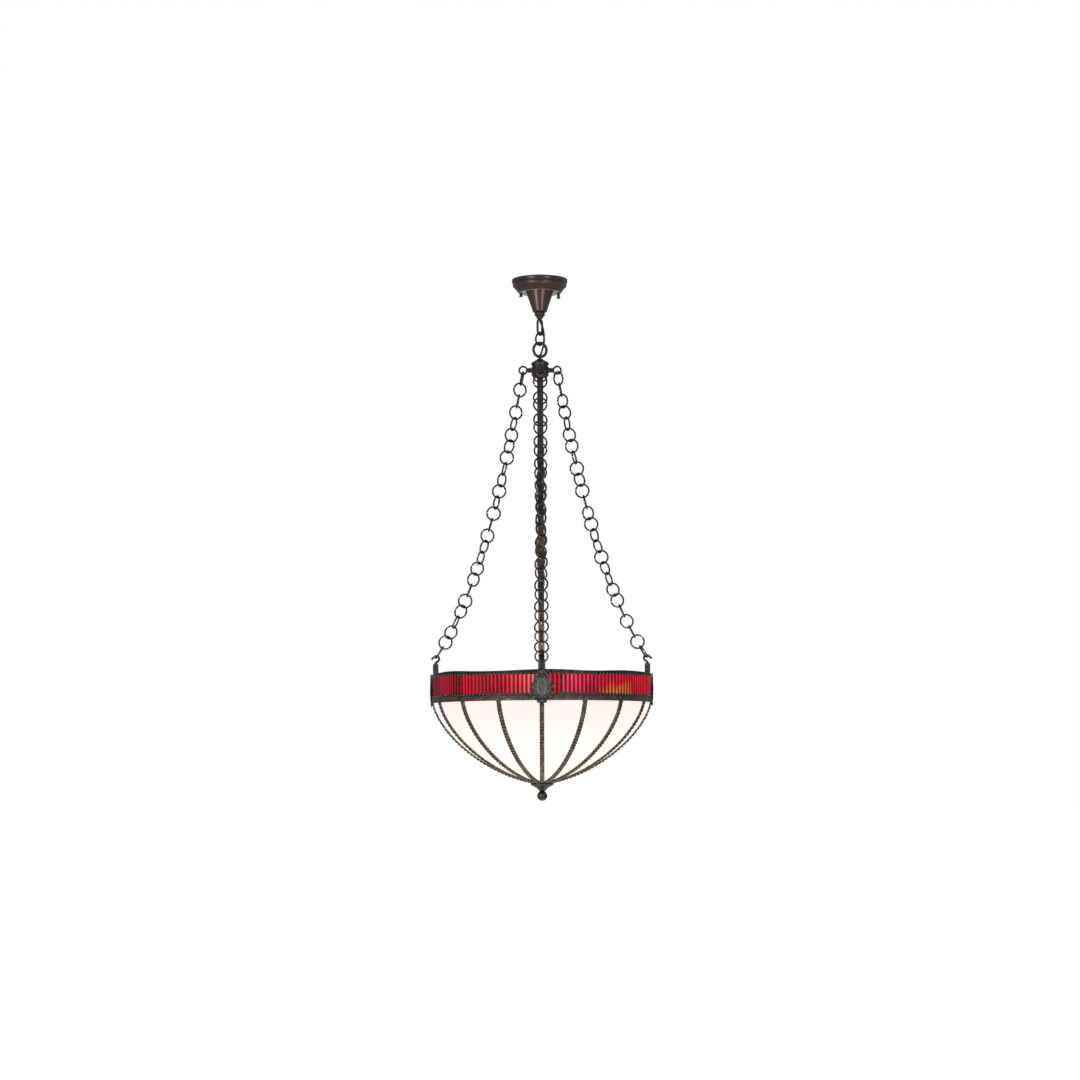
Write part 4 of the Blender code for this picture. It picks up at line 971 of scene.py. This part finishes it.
def cap_and_finial():
    """The turned cap under the ribs, and the ball with a blind bore for the rod."""
    top = bowl_height(CAP_RADIUS) - 0.6
    cap = [
        (4.4, bowl_height(RING_HOLE) - 0.9), (RING_HOLE, bowl_height(RING_HOLE) - 0.6),
        (CAP_RADIUS - 0.5, top), (CAP_RADIUS, top - 0.8), (CAP_RADIUS - 0.4, top - 2.6),
        (23.4, -1156.6), (18.4, -1159.2), (13.6, -1162.0), (10.2, -1165.0), (8.8, -1166.6),
        (8.9, -1167.8), (7.6, CAP_BOTTOM), (4.4, CAP_BOTTOM),
    ]
    piece("cap_disc", lathe(eased(cap, 0.8), 96), DARK_BRASS, "bowl", ["bottom_cap"])
    neck = CAP_BOTTOM - 0.3
    bore, end = ROD_RADIUS + 0.5, ROD_BOTTOM - 0.7
    knob = [(0, end), (bore, end), (bore, neck), (6.0, neck), (6.6, neck - 1.0), (6.2, neck - 1.8)]
    for step in range(25):
        a = 0.56 + (pi - 0.57) * step / 24
        knob.append((BALL_RADIUS * sin(a), BALL_CENTRE + BALL_RADIUS * cos(a)))
    knob.append((0, BALL_CENTRE - BALL_RADIUS))
    piece("ball_knob", lathe(knob, 64), BRONZE, "finial_turn", ["finial"])


# ---- lamps


def lamps():
    cup = [(0, 0), (9, 0), (12, 1), (15.6, 5), (16.2, 8), (17.0, 10), (17.0, 42.6), (15.8, 44)]
    cup += [(14.2, 44), (14.2, 6), (0, 6)]
    bulb = [(0, 7), (13.0, 7)]
    for turn in range(7):
        bulb += [(12.4, 10 + turn * 3.6), (13.2, 11.8 + turn * 3.6)]
    bulb += [(13.0, 36), (13.6, 46), (16.0, 54), (20.4, 63), (25.6, 73), (29.0, 83), (30.0, 91)]
    bulb += [(28.6, 101), (24.0, 110), (16.0, 115.6), (8.0, 118), (0, 118.5)]
    for number, angle in enumerate(SOCKET_ANGLES, 1):
        tilt = to_side(angle) @ Matrix.Rotation(radians(90 - SOCKET_RISE), 4, "Y")
        place = Matrix.Translation(radial(angle, SOCKET_START_R, SOCKET_START_Z)) @ tilt
        holder = Shape().add(lathe(eased(cup, 0.5), 40), place)
        piece(f"holder_{number}", holder, PORCELAIN, "bowl", [f"socket_{number}"])
        glass = Shape().add(lathe(bulb, 48), place)
        piece(f"lamp_glass_{number}", glass, BULB, f"lamp_{number}", [f"bulb_{number}"])
    cluster = [
        (0, -1095.0), (9, -1095.0), (16, -1096.5), (21, -1100), (CLUSTER_RADIUS, -1104),
        (CLUSTER_RADIUS, -1118), (19, -1122), (6, -1124), (6, -1143.8), (24, -1144.8), (24, -1147.5),
        (ROD_RADIUS, -1147.5), (ROD_RADIUS, ROD_BOTTOM), (0, ROD_BOTTOM),
    ]
    body = lathe(eased(cluster, 0.7), 64)
    for angle in SOCKET_ANGLES:
        arm = (18.0, -1112.0), (24.0, -1110.4), (29.6, -1108.2)
        body.add(tube([radial(angle, r, z) for r, z in arm], circle(5.5, 16)))
    piece("lamp_cluster", body, BRONZE, "bowl", ["socket_cluster"])


# ---- supply cord


def smooth_route(points, step):
    """Points a step apart on a Catmull-Rom curve through the route's own points."""
    points = [Vector(p) for p in points]
    padded = [2 * points[0] - points[1]] + points + [2 * points[-1] - points[-2]]
    fine = []
    for a, b, c, d in zip(padded, padded[1:], padded[2:], padded[3:]):
        for i in range(24):
            t = i / 24
            part = 2 * b + (c - a) * t + (2 * a - 5 * b + 4 * c - d) * t**2
            fine.append((part + (3 * b - a - 3 * c + d) * t**3) / 2)
    fine.append(points[-1])
    total = sum((q - p).length for p, q in zip(fine, fine[1:]))
    count = max(2, round(total / step))
    route, run, wanted = [fine[0]], 0.0, total / count
    for p, q in zip(fine, fine[1:]):
        length = (q - p).length
        while length and run + length >= wanted - 1e-9 and len(route) < count:
            route.append(p + (q - p) * ((wanted - run) / length))
            wanted += total / count
        run += length
    return route + [fine[-1]]


def woven_points():
    """The cord beside the back chain: it changes side through every fourth link."""
    points = []
    s = 1.5 * LINK_PITCH
    while s < (LINKS - 1.5) * LINK_PITCH:
        centre, along = CURVE(s)
        inward = Vector((along.z, 0.0, -along.x))
        side = 1.0
        for number in CORD_CROSSINGS:
            away = s - (number - 1) * LINK_PITCH
            if away >= LINK_PITCH:
                side = -side
            elif away > -LINK_PITCH:
                side = -side * sin(pi / 2 * away / LINK_PITCH)
                break
        place = centre + inward * CORD_SIDE * side
        points.append((0.0, place.x, place.z))
        s += LINK_PITCH / 2
    return points


def flex(points, core, cores=2):
    """Cores side by side in one flat cord, with a thin earth wire laid along them."""
    made = Shape()
    for number in range(cores):
        across = (number - (cores - 1) / 2) * core * 1.84
        made.add(tube(points, circle(core, 12, (across, 0.0))))
    return made.add(tube(points, circle(core * 0.65, 10, (-core, core * 1.45))))


def cords():
    """The upper cord in three stretches, the one in the chain, and the one that goes into the bowl."""
    route = smooth_route(CORD_UPPER, UPPER_CORD_STEP)
    spans = (
        ("cord_by_loop", "fixing", "link", LOOP_PIVOT + BEND_ABOVE, LOOP_PIVOT - BEND_BELOW),
        ("cord_by_link", "link", "ring", OVAL_PIVOT + BEND_ABOVE, OVAL_PIVOT - BEND_BELOW),
        ("cord_by_ring", "ring", "hub", RING_PIVOT + BEND_ABOVE, RING_PIVOT - BEND_BELOW_EYE),
    )
    top = 0.0
    for name, above, below, start, end in spans:
        bottom = end if below != "hub" else HUB_TOP
        inside = [i for i, p in enumerate(route) if bottom <= p.z <= top]
        part = route[max(inside[0] - 1, 0) : inside[-1] + 1]
        made = piece(name, flex(part, UPPER_CORE_RADIUS), CORD, "")
        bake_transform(made)
        if above == "fixing":
            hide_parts("supply_cord_upper")
        top = bottom
    in_hub = (0.0, 9.0, HUB_BOTTOM + 2.0)
    lower = smooth_route([in_hub, *CORD_FROM_HUB, *woven_points(), *CORD_INTO_BOWL], CORD_STEP)
    turn = next(i for i, p in enumerate(lower) if p.z < CHAIN_BOTTOM[1])
    made = piece("cord_by_chain", flex(lower[: turn + 1], CORE_RADIUS, 4), CORD, "")
    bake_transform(made)
    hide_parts("supply_cord_lower")
    piece("cord_in_bowl", flex(lower[turn - 1 :], CORE_RADIUS * 0.99, 4), CORD, "bowl")


# ---- stage, light and camera


WHITE = (1.0, 1.0, 1.0, 1.0)


def stage():
    floor = bpy.data.meshes.new("floor")
    size, height = 40.0, -1.9
    corners = [(x, y, height) for x, y in ((-size, -size), (size, -size), (size, size), (-size, size))]
    floor.from_pydata(corners, [], [(0, 1, 2, 3)])
    ground = put("floor", floor)
    pale = Nodes("pale_floor", Roughness=0.9, Emission_Color=WHITE, Emission_Strength=0.9)
    speck = pale.ramp(pale.noise(3.0, 2.0), ((0.3, (0.93, 0.93, 0.93)), (0.7, (0.96, 0.96, 0.96))))
    pale.feed("Base Color", speck)
    floor.materials.append(pale.material)
    ground.visible_diffuse = False
    ground.visible_glossy = False


def world():
    """A dim white room that looks fully white to the camera."""
    made = bpy.data.worlds.new("studio")
    bpy.context.scene.world = made
    made.use_nodes = True
    tree = made.node_tree
    background = tree.nodes["Background"]
    background.inputs["Color"].default_value = WHITE
    background.inputs["Strength"].default_value = 0.3
    white = tree.nodes.new("ShaderNodeBackground")
    white.inputs["Color"].default_value = WHITE
    white.inputs["Strength"].default_value = 1.0
    mix = tree.nodes.new("ShaderNodeMixShader")
    path = tree.nodes.new("ShaderNodeLightPath")
    tree.links.new(path.outputs["Is Camera Ray"], mix.inputs[0])
    tree.links.new(background.outputs[0], mix.inputs[1])
    tree.links.new(white.outputs[0], mix.inputs[2])
    tree.links.new(mix.outputs[0], tree.nodes["World Output"].inputs["Surface"])


def softbox(name, place, target, size, power):
    """A rectangular lamp that lights the object and never shows itself."""
    light = bpy.data.lights.new(name, "AREA")
    light.shape = "RECTANGLE"
    light.size, light.size_y = size
    light.energy = power
    made = put(name, light)
    made.location = place
    made.rotation_euler = (Vector(target) - Vector(place)).to_track_quat("-Z", "Y").to_euler()
    made.visible_camera = False


def lights():
    """Two tall strips that put a soft line down each side of the round metal, and a glow in the bowl."""
    world()
    middle = (0, 0, -0.9)
    softbox("key", (-1.75, -2.5, -0.9), middle, (0.8, 3.2), 30)
    softbox("fill", (1.5, -2.6, -0.9), middle, (0.6, 3.2), 19)
    softbox("from_below", (0, 0.1, -1.86), middle, (1.3, 1.3), 5)
    for number, angle in enumerate(SOCKET_ANGLES, 1):
        glow = bpy.data.lights.new(f"lamp_light_{number}", "POINT")
        glow.energy = 1.2
        glow.color = (1.0, 0.90, 0.78)
        glow.shadow_soft_size = 0.03
        put(f"lamp_light_{number}", glow).location = radial(angle, GLOW_R, GLOW_Z) * MM


def camera():
    lens = bpy.data.cameras.new("camera")
    lens.sensor_width = 36.0
    lens.lens = 83.5
    lens.shift_y = 0.211
    made = put("camera", lens)
    made.location = (-0.0048, -5.73, -1.1165)
    made.rotation_euler = (radians(90), radians(0.29), 0)
    bpy.context.scene.camera = made


camera()
lights()
stage()
canopy_shapes()
studs()
suspension()
arms()
chains()
hooks()
rails()
band_panels()
medallions()
ribs()
bowl_panes()
cap_and_finial()
lamps()
cords()

bpy.context.scene.view_settings.view_transform = "Standard"
